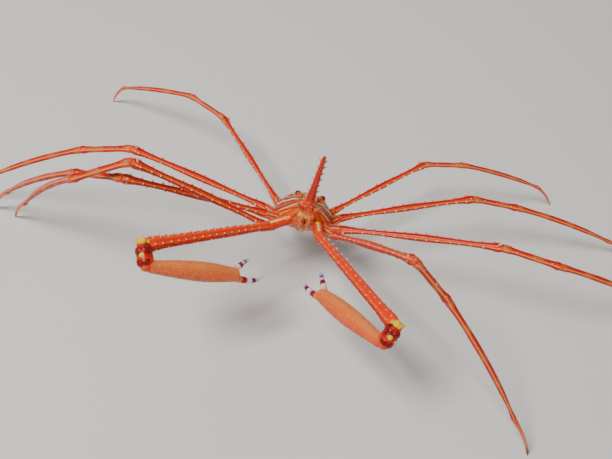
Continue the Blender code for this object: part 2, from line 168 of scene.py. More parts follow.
for name, where, size, power in LAMPS:
    light = bpy.data.lights.new(name, "AREA")
    light.size = size
    light.energy = power
    lamp = bpy.data.objects.new(name, light)
    lamp.location = where
    lamp.rotation_euler = (Vector(where) - Vector((0, 0, 0.02))).to_track_quat("Z", "Y").to_euler()
    shown.link(lamp)
world = bpy.data.worlds.new("room")
world.use_nodes = True
world.node_tree.nodes["Background"].inputs["Color"].default_value = colour("#E6EAF0")
world.node_tree.nodes["Background"].inputs["Strength"].default_value = 0.12
bpy.context.scene.world = world
print("floor and", len(LAMPS), "lamps")

# %% [markdown]
# ## The animal's measures
# The same measures and angles as the solids, so that each surface lies in its solid. The body has axes of its
# own: a forward along the back, l to the crab's left and d out of the back.

# %% Measures
BODY_PLACE = np.array([-0.006545, -0.002203, 0.0250])
BODY_PITCH = np.radians(70)
BODY_TURN = np.radians(5)
BODY_SECTIONS = np.array([    # a, half width, height of back, depth of belly
    (-0.0092, 0.0016, 0.0010, 0.0006),
    (-0.0084, 0.0046, 0.0030, 0.0015),
    (-0.0062, 0.0070, 0.0048, 0.0025),
    (-0.0032, 0.0077, 0.0057, 0.0032),
    (0.0000, 0.0070, 0.0054, 0.0036),
    (0.0030, 0.0055, 0.0046, 0.0037),
    (0.0055, 0.0039, 0.0036, 0.0034),
    (0.0078, 0.0026, 0.0027, 0.0027),
    (0.0102, 0.0013, 0.0015, 0.0013),
])
BEAK_ROOT, BEAK_LENGTH = 0.0102, 0.0215
BEAK_DROP, BEAK_RISE = 0.0002, 0.0052
BEAK_RADII = (0.00135, 0.00092, 0.00070, 0.00054, 0.00034)
SOCKETS = {
    "p1": (0.0046, 0.0035, -0.0034),
    "p2": (0.0019, 0.0048, -0.0030),
    "p3": (-0.0009, 0.0057, -0.0022),
    "p4": (-0.0037, 0.0059, -0.0010),
    "p5": (-0.0063, 0.0050, 0.0009),
}
MERUS = {"p2": 0.0430, "p3": 0.0410, "p4": 0.0370, "p5": 0.0305}
MERUS_RADIUS = {"p2": 0.00100, "p3": 0.00100, "p4": 0.00095, "p5": 0.00085}
CARPUS_SHARE, PROPODUS_SHARE, DACTYL_SHARE = 0.37, 0.95, 0.38
BASE_LENGTH, BASE_RADIUS = 0.0048, 0.00122
BOWS = {"base": 0.0, "merus": 0.010, "carpus": 0.0, "propodus": 0.028, "dactylus": 0.045}
LEG_POSE = {                  # degrees: heading and rise of base, merus, carpus, propodus, then dactyl heading
    "p2_left": ((-35, 15), (-56, 47), (0, -52), (-22, -50), -16),
    "p3_left": ((-3, 14), (-4, 13), (-3, -8), (12, -29), 12),
    "p4_left": ((32, 22), (21, 3), (12, -15), (10, -24), 9),
    "p5_left": ((50, 9), (42, 4), (14, -2), (17, -25), 16),
    "p2_right": ((230, 8), (197, 41), (187, -31), (150, -53), 148),
    "p3_right": ((190, 26), (204, 33), (163, -27), (159, -46), 160),
    "p4_right": ((166, 20), (179, 20), (183, -15), (179, -36), 178),
    "p5_right": ((127, 8), (130, 3), (156, 6), (157, -27), 153),
}
CLAW_BASE, CLAW_MERUS, CLAW_CARPUS, PALM = 0.0070, 0.0360, 0.0047, 0.0245
CLAW_BASE_RADIUS = 0.00125
CLAW_MERUS_RADII = (0.00112, 0.00120, 0.00126, 0.00138, 0.00158)
PALM_RADII = (0.00130, 0.00175, 0.00212, 0.00230, 0.00205, 0.00150)
FIXED_FINGER = np.array([     # along the palm from its end, across it towards the moving finger, radius
    (-0.0030, -0.0005, 0.00100), (0.0000, -0.0009, 0.00088), (0.0032, -0.0011, 0.00070),
    (0.0056, -0.0007, 0.00050), (0.0074, 0.0004, 0.00024)])
MOVING_FINGER = np.array([
    (-0.0010, 0.0012, 0.00082), (0.0003, 0.0020, 0.00076), (0.0017, 0.0030, 0.00062),
    (0.0029, 0.0038, 0.00046), (0.0038, 0.0041, 0.00024)])
CLAW_POSE = {                 # heading and rise of base, merus and palm
    "left": ((-82, 34), (-54, 19), (134, -26)),
    "right": ((222, 15), (222, 25), (28, -31)),
}
SIDES = {1: "left", -1: "right"}
UP = np.array([0.0, 0.0, 1.0])
LEVEL_FORWARD = np.array([0.0, -np.cos(BODY_PITCH), np.sin(BODY_PITCH)])
SIDEWAYS = np.array([1.0, 0.0, 0.0])
FORWARD = np.cos(BODY_TURN) * LEVEL_FORWARD + np.sin(BODY_TURN) * SIDEWAYS
LEFT = np.cos(BODY_TURN) * SIDEWAYS - np.sin(BODY_TURN) * LEVEL_FORWARD
OUT = np.array([0.0, np.sin(BODY_PITCH), np.cos(BODY_PITCH)])


def on_body(a, l, d):
    """World places of points given along the body's axes: the centre plus a, l and d steps along them."""
    a, l, d = (np.asarray(value, float)[..., None] for value in (a, l, d))
    return BODY_PLACE + a * FORWARD + l * LEFT + d * OUT


def unit(vector):
    """Vectors scaled to length one."""
    return vector / np.linalg.norm(vector, axis=-1, keepdims=True)


def direction(heading, rise):
    """Unit vector from heading and rise in degrees: cosines of both for X, sine of heading for Y, of rise for Z."""
    heading, rise = np.radians(heading), np.radians(rise)
    return np.array([np.cos(rise) * np.cos(heading), np.cos(rise) * np.sin(heading), np.sin(rise)])


# %% [markdown]
# ## Where the joints are
# Each leg is a chain. A joint's place is the one before it plus a length along a direction. The last piece, the
# dactyl, is turned down by the angle whose sine is the height left over its own length, so each foot lands
# on the floor.


# %% Chains of joints
def chain(leg, side, ways, lengths):
    """Joints from a leg's socket on: each is the one before it plus a length along a way."""
    a, l, d = SOCKETS[leg]
    joints = [on_body(a, l if side == "left" else -l, d)]
    for way, length in zip(ways, lengths):
        joints.append(joints[-1] + way * length)
    return joints


def leg_joints(name):
    """Six joints of a walking leg and the unit directions of its five segments."""
    leg, side = name.split("_")
    merus = MERUS[leg]
    ways = [direction(*pose) for pose in LEG_POSE[name][:4]]
    joints = chain(leg, side, ways, (BASE_LENGTH, merus, merus * CARPUS_SHARE, merus * PROPODUS_SHARE))
    foot = merus * DACTYL_SHARE
    ways.append(direction(LEG_POSE[name][4], -np.degrees(np.arcsin(joints[-1][2] / foot))))
    joints.append(joints[-1] + ways[-1] * foot)
    return joints, ways


def claw_joints(side):
    """Socket, shoulder, elbow, wrist and palm end of a claw leg, with the four directions between them."""
    base, merus, palm = (direction(*pose) for pose in CLAW_POSE[side])
    ways = (base, merus, unit(merus + palm), palm)
    return chain("p1", side, ways, (CLAW_BASE, CLAW_MERUS, CLAW_CARPUS, PALM)), ways


LEGS = {name: leg_joints(name) for name in LEG_POSE}
CLAWS = {side: claw_joints(side) for side in CLAW_POSE}
print("lowest joints, mm:", {name: round(float(joints[-1][2]) * 1000, 3) for name, (joints, _) in LEGS.items()})

# %% [markdown]
# ## From numbers to a mesh
# Every surface here is a grid of points: one way along the piece, the other round it. The last column joins
# the first, and a point at each end closes the tube. Three numbers travel with each point, so that the
# materials know where on the limb it is: how far round from the top, and how far from either end.


# %% Grids to meshes
def closed(grid, lie):
    """Vertices, faces and marks of a tube: quads between rows and columns, then a fan to each end's middle."""
    rows, columns = grid.shape[:2]
    points = np.vstack([grid.reshape(-1, 3), grid[0].mean(0), grid[-1].mean(0)])
    marks = np.vstack([lie.reshape(-1, 3), lie[0].mean(0), lie[-1].mean(0)])
    index = np.arange(rows * columns).reshape(rows, columns)
    follow = np.roll(index, -1, 1)
    quads = np.stack([index[:-1], follow[:-1], follow[1:], index[1:]], -1).reshape(-1, 4)
    first = np.stack([np.full(columns, rows * columns), follow[0], index[0]], -1)
    last = np.stack([np.full(columns, rows * columns + 1), index[-1], follow[-1]], -1)
    return points, [quads, first, last], marks


def make(name, shells, finish, slot, *nodes, body="root"):
    """One object from any number of closed shells, with its marks, smooth shading and nodes. The slot is not used."""
    points, marks, faces, count = [], [], [], 0
    for shell_points, shell_faces, shell_marks in shells:
        faces += [face for block in shell_faces for face in (block + count).tolist()]
        points.append(shell_points)
        marks.append(shell_marks)
        count += len(shell_points)
    mesh = bpy.data.meshes.new(name)
    mesh.from_pydata(np.vstack(points), [], faces)
    mesh.attributes.new("lie", "FLOAT_VECTOR", "POINT").data.foreach_set("vector", np.vstack(marks).ravel())
    mesh.shade_smooth()
    mesh.materials.append(finish)
    mesh.update()
    piece = bpy.data.objects.new(name, mesh)
    shown.link(piece)
    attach(piece, body)
    if nodes:
        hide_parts(*nodes)
    return piece


def circle(count):
    """Turns of the points of a ring in radians, from the top round."""
    return np.linspace(0, 2 * np.pi, count, endpoint=False)


def distances(path):
    """How far along a path each of its points is: the sum of the steps before it."""
    return np.concatenate([[0], np.cumsum(np.linalg.norm(np.diff(path, axis=0), axis=1))])


def points_at(path, far, at):
    """Points at the distances at, on straight steps between a path's own points at the distances far."""
    return np.stack([np.interp(at, far, path[:, axis]) for axis in range(3)], -1)


def tube(path, radius, up=UP, around=20, flat=1.0):
    """Closed shell round a path. At each station the ring is radius times cos and sin of the turn, on the axis
    nearest to up and on the one across it. Flat scales the up axis. Radius may depend on the turn. The marks are
    the turn from the top as 0 to 1, millimetres from the start and millimetres from the end."""
    along = unit(np.gradient(path, axis=0))
    upward = unit(up - (along @ up)[:, None] * along)
    across = np.cross(along, upward)
    turns = circle(around)
    radius = radius if np.ndim(radius) == 2 else radius[:, None]
    ring = flat * np.cos(turns)[None, :, None] * upward[:, None] + np.sin(turns)[None, :, None] * across[:, None]
    far = distances(path) * 1000
    lie = np.zeros((len(path), around, 3))
    lie[..., 0] = 1 - np.abs(turns / np.pi - 1)
    lie[..., 1] = far[:, None]
    lie[..., 2] = (far[-1] - far)[:, None]
    return closed(path[:, None] + radius[..., None] * ring, lie)


def rounded(far, total, start, end):
    """Share of full radius that rounds both ends of a tube as a quarter circle of the given lengths."""
    first = np.clip(far / start, 0, 1)
    last = np.clip((total - far) / end, 0, 1)
    return np.sqrt(np.clip(1 - (1 - first) ** 2, 0.01, 1)) * np.sqrt(np.clip(1 - (1 - last) ** 2, 0.01, 1))


def bowed(start, end, share, shares):
    """Points between two joints, pushed upward by a parabola that is nothing at both ends."""
    line = end - start
    along = unit(line)
    push = unit(UP - along * along[2]) * share * np.linalg.norm(line)
    return start + line * shares[:, None] + push * (4 * shares * (1 - shares))[:, None]


def smooth_path(knots, spacing):
    """A Catmull-Rom curve through the knots, cut into equal steps of about the spacing. Each stretch is a cubic in s
    whose slope at a knot is half the difference of the knots on either side."""
    knots = np.asarray(knots, float)
    full = np.vstack([2 * knots[0] - knots[1], knots, 2 * knots[-1] - knots[-2]])
    s = np.linspace(0, 1, 12, endpoint=False)[:, None]
    curve = [0.5 * (2 * h + (t - b) * s + (2 * b - 5 * h + 4 * t - a) * s ** 2 + (3 * h - b - 3 * t + a) * s ** 3)
             for b, h, t, a in zip(full[:-3], full[1:-2], full[2:-1], full[3:])]
    path = np.vstack(curve + [knots[-1:]])
    far = distances(path)
    return points_at(path, far, np.linspace(0, far[-1], max(int(far[-1] / spacing) + 1, 6)))


def hermite(x, knots, values):
    """Smooth curve through values at knots: on each stretch a cubic with the slopes that np.gradient gives."""
    knots, values = np.asarray(knots, float), np.asarray(values, float)
    slopes = np.gradient(values, knots)
    k = np.clip(np.searchsorted(knots, x) - 1, 0, len(knots) - 2)
    gap = knots[k + 1] - knots[k]
    s = np.clip((x - knots[k]) / gap, 0, 1)
    return ((1 + 2 * s) * (1 - s) ** 2 * values[k] + s * (1 - s) ** 2 * gap * slopes[k]
            + s ** 2 * (3 - 2 * s) * values[k + 1] + s ** 2 * (s - 1) * gap * slopes[k + 1])


def even(x, values):
    """Smooth curve through values at equal steps from 0 to 1."""
    return hermite(x, np.linspace(0, 1, len(values)), values)


def sized(profile, size):
    """A profile's shares of the length, and its radii as shares of a size turned into metres."""
    return profile[0], np.array(profile[1]) * size


def thorns(roots, ways, lengths, radii, bend=UP, hook=0.15, sides=7, stands=5, sink=0.25):
    """Many curved cones in one block. At share s of its length a cone's middle is its root plus s lengths along
    its way and hook times s squared lengths towards bend. Its radius is the root's times one less s to the 1.2."""
    roots = np.asarray(roots, float)
    ways = unit(np.broadcast_to(np.asarray(ways, float), roots.shape))
    lengths = np.broadcast_to(lengths, len(roots)).astype(float)
    radii = np.broadcast_to(radii, len(roots)).astype(float)
    side = unit(np.cross(ways, bend) + 1e-5)
    over = np.cross(ways, side)
    shares = np.concatenate([[-sink], np.linspace(0, 0.9, stands)])
    wide = np.where(shares < 0, 1.0, 1 - np.clip(shares, 0, 1) ** 1.2)
    turns = circle(sides)
    middle = (roots[:, None] + (ways * lengths[:, None])[:, None] * shares[:, None]
              - (over * lengths[:, None])[:, None] * (hook * np.clip(shares, 0, 1) ** 2)[:, None])
    ring = np.cos(turns)[:, None] * side[:, None] + np.sin(turns)[:, None] * over[:, None]
    grid = middle[:, :, None] + (radii[:, None] * wide)[:, :, None, None] * ring[:, None]
    tips = roots + (ways - over * hook) * lengths[:, None]
    lie = np.zeros(grid.shape)
    lie[..., 0] = rng.uniform(0, 1, len(roots))[:, None, None]
    lie[..., 1] = np.clip(shares, 0, 1)[:, None]
    lie[..., 2] = (lengths * 1000)[:, None, None]
    faces = closed(grid[0], lie[0])[1]
    count, per = len(roots), (stands + 1) * sides + 2
    points = np.concatenate([grid.reshape(count, -1, 3), grid[:, 0].mean(1)[:, None], tips[:, None]], 1)
    ends = lie[:, [0, -1], 0].copy()
    ends[:, 1, 1] = 1.0
    marks = np.concatenate([lie.reshape(count, -1, 3), ends], 1)
    shift = (np.arange(count) * per)[:, None, None]
    faces = [(block[None] + shift).reshape(-1, block.shape[1]) for block in faces]
    return points.reshape(-1, 3), faces, marks.reshape(-1, 3)


STATION = 0.00036             # step between the stations of a limb
OVERLAP = 0.0002              # each limb segment runs this far past its joints
ELBOW_DEPTH, ELBOW_REACH = 0.9, 1.3     # how far a root bends back and over what length, in radii


def limb(start, end, profile, bow=0.0, ridges=0.03, around=24, lead=None):
    """Shell of one limb segment. Stations crowd at both ends, where they follow t less a share of the sine of a
    whole turn. The ring's radius is the profile times one plus ridges times the cosine of three turns. Lead is the
    way of the segment before: the root bends back along it by a square law, which makes an elbow."""
    shares, widths = profile
    length = np.linalg.norm(end - start)
    t = np.linspace(0, 1, max(int(length / STATION), 22))
    t = t - 0.82 * np.sin(2 * np.pi * t) / (2 * np.pi)
    at = -OVERLAP / length + t * (1 + 2 * OVERLAP / length)
    path = bowed(start, end, bow, at)
    if lead is not None:
        near = np.clip(1 - at * length / (ELBOW_REACH * widths[0]), 0, 1.2)
        path -= ELBOW_DEPTH * widths[0] * lead * near[:, None] ** 2
    far = (at - at[0]) * length
    radii = hermite(at, shares, widths) * rounded(far, far[-1], 0.75 * widths[0], 0.75 * widths[-1])
    return tube(path, radii[:, None] * (1 + ridges * np.cos(3 * circle(around))), around=around)


def ball(centre, axis, reach, radius, around=16, up=UP):
    """Ellipsoid: a tube along its axis whose radius is the root of one less the square of the place along it."""
    t = -np.cos(np.linspace(0.06, np.pi - 0.06, 15))
    return tube(centre + unit(axis) * (t * reach)[:, None], radius * np.sqrt(1 - t ** 2), up, around)


def around_axis(axis, turn):
    """Direction at a turn in degrees about an axis, counted from the side of it that is nearest to straight up."""
    top = unit(UP - axis * (axis @ UP))
    return np.cos(np.radians(turn)) * top + np.sin(np.radians(turn)) * np.cross(axis, top)


print("a test ball has", len(ball(np.zeros(3), LEFT, 0.001, 0.001)[0]), "points")

# %% [markdown]
# ## Shell of the limbs
# A crab's cuticle is chitin with chalk in it: fairly glossy, slightly translucent, with fine pits and granules.
# A photograph could be wrapped round each leg. Procedural colour is used, because it stays sharp at any
# distance and both sides get the same markings. A ramp over the turn from the top gives the cream line down
# each leg, which is a painted highlight, and the distances from the ends give the pale joint rings.


# %% Materials
# Cells in a metre, from the size that each pattern has on the shell
POLISH, GRAIN = 900.0, 6000.0     # patches of 1.1 mm, more and less worn, and a grain of 0.17 mm
LIMB_DRIFT, LIMB_FLECKS, LIMB_PITS = 420.0, 1500.0, 3600.0    # 2.4 mm, 0.67 mm and 0.28 mm
TIP_DRIFT, TIP_SPECKS, TIP_PITS = 700.0, 1900.0, 4200.0       # 1.4 mm, 0.53 mm and 0.24 mm
BODY_DRIFT, BODY_FLECKS, BODY_PITS = 330.0, 1700.0, 3000.0    # 3 mm, 0.59 mm and 0.33 mm
FACETS, EYE_CLOUDS = 30000.0, 1400.0    # 0.033 mm, and clouds of 0.7 mm
# Wet chitin hardened with chalk: its own index, a soft highlight, light that goes half a millimetre deep
CHITIN = {"IOR": 1.56, "Specular IOR Level": 0.28, "Subsurface Weight": 0.06, "Subsurface Radius": (1.0, 0.25, 0.08),
          "Subsurface Scale": 0.0005, "Coat Weight": 0.06, "Coat Roughness": 0.2}


def surface(made, skin, pits, roughness=0.42, depth=0.00003, **constants):
    """Finish a shell material: skin colour, roughness that drifts with a noise, and pits with a grain as bump."""
    tree = made.node_tree
    shader = tree.nodes["Principled BSDF"]
    place = add(tree, "TexCoord", out="Object")
    drift = add(tree, "TexNoise", {"Vector": place, "Scale": POLISH, "Detail": 3.0})
    rough = add(tree, "MapRange", {0: drift, 1: 0.3, 2: 0.7, 3: roughness - 0.09, 4: roughness + 0.12})
    fine = add(tree, "TexNoise", {"Vector": place, "Scale": GRAIN, "Detail": 2.0})
    cells = add(tree, "TexVoronoi", {"Vector": place, "Scale": pits})
    height = add(tree, "Math", {0: fine, 1: 0.5, 2: cells}, operation="MULTIPLY_ADD")
    bump = add(tree, "Bump", {"Height": height, "Strength": 0.6, "Distance": depth})
    tree.links.new(skin, shader.inputs["Base Color"])
    tree.links.new(rough, shader.inputs["Roughness"])
    tree.links.new(bump, shader.inputs["Normal"])
    for key, value in {**CHITIN, **constants}.items():
        shader.inputs[key].default_value = value
    return made


def fresh(name):
    """A new material with its place in metres and the three marks of each point."""
    made = bpy.data.materials.new(name)
    made.use_nodes = True
    tree = made.node_tree
    mark = add(tree, "Attribute", out="Vector", attribute_name="lie")
    lie = add(tree, "SeparateXYZ", {0: mark}).node.outputs
    return made, tree, add(tree, "TexCoord", out="Object"), lie


def drifting(tree, place, scale, detail, amount, mark):
    """A noise, and a mark plus that noise times an amount, which makes the edges in a ramp wander."""
    noise = add(tree, "TexNoise", {"Vector": place, "Scale": scale, "Detail": detail})
    return noise, add(tree, "Math", {0: noise, 1: amount, 2: mark}, operation="MULTIPLY_ADD")


def flecked(tree, place, skin, scale, reach, strength, tone):
    """Skin with dots of a tone: cells of a Voronoi pattern, strongest inside the first reach, gone at the second."""
    cells = add(tree, "TexVoronoi", {"Vector": place, "Scale": scale})
    near = add(tree, "MapRange", {0: cells, 1: reach[0], 2: reach[1], 3: strength, 4: 0.0})
    return add(tree, "Mix", {0: near, 6: skin, 7: colour(tone)}, out=2, data_type="RGBA")


def cuticle(name, across, ring="#F1D6A8", reach=(0.15, 0.7), fleck="#6A1208", flecks=0.3, roughness=0.42,
            wander=0.14, bands=None, one_end=False):
    """Limb shell: a ramp over the turn from the top with wandering edges, flecks, bands every so many
    millimetres, and a ring that fades between two distances in millimetres from the start or from either end."""
    made, tree, place, lie = fresh(name)
    noise, turn = drifting(tree, place, LIMB_DRIFT, 4.0, wander, lie["X"])
    level = add(tree, "Math", {0: turn, 1: wander / 2}, operation="SUBTRACT")
    skin = add(tree, "ValToRGB", {"Fac": level}, across)
    if bands:
        period, share, tone = bands
        sway = add(tree, "Math", {0: noise, 1: 2.0, 2: lie["Y"]}, operation="MULTIPLY_ADD")
        phase = add(tree, "Math", {0: sway, 1: 2 * np.pi / period}, operation="MULTIPLY")
        wave = add(tree, "Math", {0: phase}, operation="SINE")
        strong = add(tree, "MapRange", {0: wave, 1: 0.2, 2: 0.9, 3: 0.0, 4: share})
        skin = add(tree, "Mix", {0: strong, 6: skin, 7: colour(tone)}, out=2, data_type="RGBA")
    skin = flecked(tree, place, skin, LIMB_FLECKS, (0.12, 0.45), flecks, fleck)
    edge = lie["Y"] if one_end else add(tree, "Math", {0: lie["Y"], 1: lie["Z"]}, operation="MINIMUM")
    pale = add(tree, "MapRange", {0: edge, 1: reach[0], 2: reach[1], 3: 0.85, 4: 0.0})
    skin = add(tree, "Mix", {0: pale, 6: skin, 7: colour(ring)}, out=2, data_type="RGBA")
    return surface(made, skin, LIMB_PITS, roughness)


def along_colours(name, stops, reach, roughness=0.4, wander=0.5, speck="#F6E3C4", specks=0.25):
    """Shell whose colour changes along the piece: a ramp over its first reach millimetres, with specks."""
    made, tree, place, lie = fresh(name)
    _, moved = drifting(tree, place, TIP_DRIFT, 4.0, wander, lie["Y"])
    share = add(tree, "MapRange", {0: moved, 1: wander / 2, 2: reach + wander / 2})
    skin = add(tree, "ValToRGB", {"Fac": share}, stops)
    return surface(made, flecked(tree, place, skin, TIP_SPECKS, (0.10, 0.40), specks, speck), TIP_PITS, roughness)


# Long upper segments: hard, smooth and wet, with narrow soft highlights, and a cream line of painted highlight on each
# side
LEG = cuticle(
    "leg_cuticle", "0 #A00600, 0.06 #C01000, 0.11 #FF3800, 0.24 #FF4200, 0.285 #FF8A20, 0.297 #FFD880, "
    "0.317 #FFCC70, 0.335 #F42C00, 0.55 #C01000, 0.78 #7C0400, 1 #C83004", ring="#F8702A", wander=0.06)
# Leg roots: the same shell with dark-edged cream lines, which carry on the stripes of the back
LEG_ROOT = cuticle(
    "leg_root_cuticle", "0 #FF5408, 0.07 #F23000, 0.115 #520400, 0.132 #FFDC90, 0.168 #FFD484, 0.185 #6A0800, "
    "0.21 #E42C00, 0.29 #FF4800, 0.345 #F03400, 0.365 #580400, 0.38 #FFDC90, 0.412 #FFCC74, 0.43 #780800, "
    "0.47 #E02C00, 0.72 #B00E00, 1 #D83804", ring="#F8702A", wander=0.05)
# Lower segments: thinner shell, so a paler red with faint bands, and a cream line of painted highlight on each side
SHIN = cuticle(
    "shin_cuticle", "0 #AC0C00, 0.08 #DC2400, 0.22 #FF4804, 0.285 #FF9838, 0.298 #FFDC94, 0.32 #FFD080, "
    "0.34 #EE2E00, 0.65 #AC1000, 1 #CC3C10", flecks=0.2, bands=(9.0, 0.3, "#FF9848"), ring="#FFA858", wander=0.08)
# Feet: worn pale, with a tip of brown horn
FOOT = along_colours("foot_cuticle", "0 #F23C04, 0.3 #F8681C, 0.7 #FA9C54, 0.9 #C46C24, 1 #702C08", 15.0, specks=0.15)
# Claw arms: the reddest shell, with an orange ring at each joint
ARM = cuticle(
    "claw_arm_cuticle", "0 #FF5404, 0.05 #FF3C00, 0.16 #FF2C00, 0.27 #FF5A08, 0.3 #FF8420, 0.34 #F82800, "
    "0.52 #D01400, 0.74 #980800, 1 #CC2C00", ring="#FF8A00", reach=(0.3, 1.1), flecks=0.2)
# Claw roots: a cream streak of painted highlight on top, orange below
CLAW_ROOT = cuticle(
    "claw_root_cuticle", "0 #FFE9B0, 0.045 #FFDC8C, 0.085 #FF8424, 0.14 #FF4400, 0.4 #F02C00, 0.7 #B01000, "
    "1 #D83C04", ring="#FF7008", wander=0.10)
# Wrists: bare, polished shell in mottled maroon
WRIST_SHELL = along_colours(
    "claw_wrist_cuticle", "0 #980006, 0.14 #C4040C, 0.3 #740008, 0.45 #C8040C, 0.6 #680006, 0.8 #D00C00, 1 #F03800",
    4.7, roughness=0.36, wander=1.6, speck="#FF7C10", specks=0.2)
# Hands: shell dulled by its coat of hairs, red at the wrist and orange beyond
PALM_SHELL = cuticle(
    "claw_palm_cuticle", "0 #FF8A38, 0.14 #FF7420, 0.4 #FF5C0C, 0.7 #CC3800, 1 #D84C0C", ring="#FF2C00",
    reach=(0.5, 3.2), fleck="#FFB060", flecks=0.25, roughness=0.5, wander=0.3, one_end=True)
# Fingers: bare and smooth as enamel, the glossiest part, banded maroon, white and violet
FINGER_SHELL = along_colours(
    "claw_finger_cuticle", "0 #FF7A30, 0.38 #FF7A30, 0.44 #8A0410, 0.55 #B00A20, 0.61 #F4E8F4, 0.72 #FBF4FC, "
    "0.76 #5E0C34, 0.85 #8A1450, 0.89 #C4AEEE, 1 #E8DEFC", 9.2, roughness=0.3, wander=0.5, speck="#F4ECF8",
    specks=0.15)
MOVING_SHELL = along_colours(
    "claw_dactyl_cuticle", "0 #E43008, 0.12 #F4C8C0, 0.26 #FBF4FC, 0.34 #7A0418, 0.5 #A80C28, 0.58 #F4E8F4, "
    "0.7 #66104A, 0.8 #B49CE8, 1 #E8DEFC", 5.4, roughness=0.3, wander=0.5, speck="#F4ECF8", specks=0.15)
# Spines: chitin that loses its colour towards the point, so they catch the light
SPINE = along_colours(
    "spine_cuticle", "0 #F04A08, 0.25 #FF9A3C, 0.5 #FFE4A0, 1 #FFFCF0", 1.0, wander=0.15, specks=0.0)
# Joint skin: chitin without chalk, soft and dull
MEMBRANE = along_colours("joint_membrane", "0 #D82C00, 0.5 #F05C10, 1 #D82C00", 2.0, roughness=0.5, speck="#F3C49A")
# Hairs: straw-coloured chitin. Real ones are about 0.01 mm thick, these a little more, to show at all
SETA = along_colours("seta_chitin", "0 #D89A60, 0.5 #EFD0A0, 1 #FBEFD6", 1.0, roughness=0.5, specks=0.0, wander=0.1)
# Knobs: swollen shell, smooth and glossy yellow
KNOB = along_colours(
    "knob_cuticle", "0 #FF4800, 0.3 #FF9000, 0.6 #FFBC00, 1 #FFD000", 1.0, roughness=0.30, wander=0.3,
    speck="#FFE868")
print("materials:", len(bpy.data.materials))

# %% [markdown]
# ## Walking legs
# Eight legs, each of coxa, basis and ischium in the first piece, then a long merus, a short carpus, a long
# propodus and a pointed dactyl. A leg could be one bent tube. Here each segment is its own closed shell, whose
# root bends back along the segment before it, and a ball of soft membrane closes the joint between two pins.

# %% Walking legs
PROFILES = {                  # shares of a segment's length, then its radii as shares of the leg's
    "base": ((0.0, 0.10, 0.30, 0.365, 0.395, 0.425, 0.49, 0.62, 0.685, 0.715, 0.745, 0.80, 0.95, 1.0),
             (0.97, 1.0, 1.03, 1.02, 0.92, 0.98, 1.0, 1.03, 1.02, 0.92, 0.97, 0.99, 1.01, 0.98)),
    "merus": ((0.0, 0.02, 0.05, 0.5, 0.93, 0.972, 0.985, 1.0), (1.05, 1.15, 1.0, 0.98, 1.02, 1.22, 1.10, 1.16)),
    "carpus": ((0.0, 0.05, 0.14, 0.5, 0.86, 0.95, 1.0), (1.0, 1.10, 0.90, 0.84, 0.92, 1.10, 1.0)),
    "propodus": ((0.0, 0.02, 0.06, 0.35, 0.7, 0.96, 0.985, 1.0), (0.88, 0.98, 0.86, 0.80, 0.72, 0.60, 0.68, 0.60)),
    "dactylus": ((0.0, 0.04, 0.12, 0.5, 0.8, 0.93, 1.0), (0.56, 0.62, 0.53, 0.46, 0.36, 0.24, 0.12)),
}
# Rows of thorns: turns from the top in degrees, step along the segment, length
SPINULES = (-55, 55), 0.0027, 0.00085       # on the cream lines
LOWER_THORNS = (-118, 122), 0.0041, 0.00045     # finer ones on the lower half
SHIN_THORNS = (-30, 35), 0.0040, 0.00045
KNEE_LENGTHS, KNEE_RADII = (0.0019, 0.0007, 0.0007), (0.00042, 0.00024, 0.00024)     # one large, two small
MEMBRANE_FAT = (0.95, 1.02, 0.95, 0.62)     # of the membrane balls: the first in base radii, the others in leg radii
FOOT_HAIRS = 260, 0.00042, 0.000014, 1.2    # number, length, thickness, lean
HAIR_RINGS = 4                # of points along a hair


def row_of_thorns(joints, radius_at, turns, step, length, bow=0.0, ends=(0.003, 0.0025), jitter=0.12):
    """Rows of thorns along a segment: places every step with a little chance in each, growing out at the given
    turns and leaning towards the far end. Lengths vary by a fifth."""
    start, end = joints
    along = unit(end - start)
    whole = np.linalg.norm(end - start)
    reach = whole - sum(ends)
    count = int(reach / step) + 1
    roots, ways = [], []
    for turn in turns:
        at = ends[0] + (np.arange(count) + rng.uniform(-jitter, jitter, count)) * reach / max(count - 1, 1)
        share = np.clip(at / whole, 0.02, 0.98)
        out = around_axis(along, turn)
        roots.append(bowed(start, end, bow, share) + out * (radius_at(share) * 0.95)[:, None])
        ways.append(np.broadcast_to(out + along * 0.3, (count, 3)))
    roots = np.vstack(roots)
    lengths = length * rng.uniform(0.75, 1.15, len(roots))
    return thorns(roots, np.vstack(ways), lengths, lengths * 0.32, bend=along)


def bake_map(piece, spots, per):
    """UV map in which each hair is a patch 0.003 across at its root's place on an unwrap of the skin."""
    mesh = piece.data
    corner = np.empty(len(mesh.loops), dtype=int)
    mesh.loops.foreach_get("vertex_index", corner)
    hair, point = corner // per, corner % per
    patch = np.column_stack([(point % 3) / 2, point / (per - 1)]) - 0.5
    mesh.uv_layers.new(name="OFBake").data.foreach_set("uv", (spots[hair] + 0.003 * patch).ravel())


def setae(name, place_at, hairs, slot, nodes, turn_range=(0, 2 * np.pi)):
    """A coat of three-sided hairs. Roots are spread by chance over a skin whose place_at gives a point, an outward
    and an onward direction for a share along and a turn round."""
    count, length, thickness, lean = hairs
    share, turn = rng.uniform(0.03, 0.97, count), rng.uniform(*turn_range, count)
    roots, out, onward = place_at(share, turn)
    ways = out + onward * lean + rng.normal(0, 0.22, (count, 3))
    lengths = length * rng.uniform(0.6, 1.25, count)
    block = thorns(roots, ways, lengths, thickness, bend=onward, hook=0.25, sides=3, stands=HAIR_RINGS - 1, sink=0.2)
    piece = make(name, [block], SETA, slot, *nodes)
    bake_map(piece, np.column_stack([turn % (2 * np.pi) / (2 * np.pi), share]) * 0.98 + 0.01, HAIR_RINGS * 3 + 2)


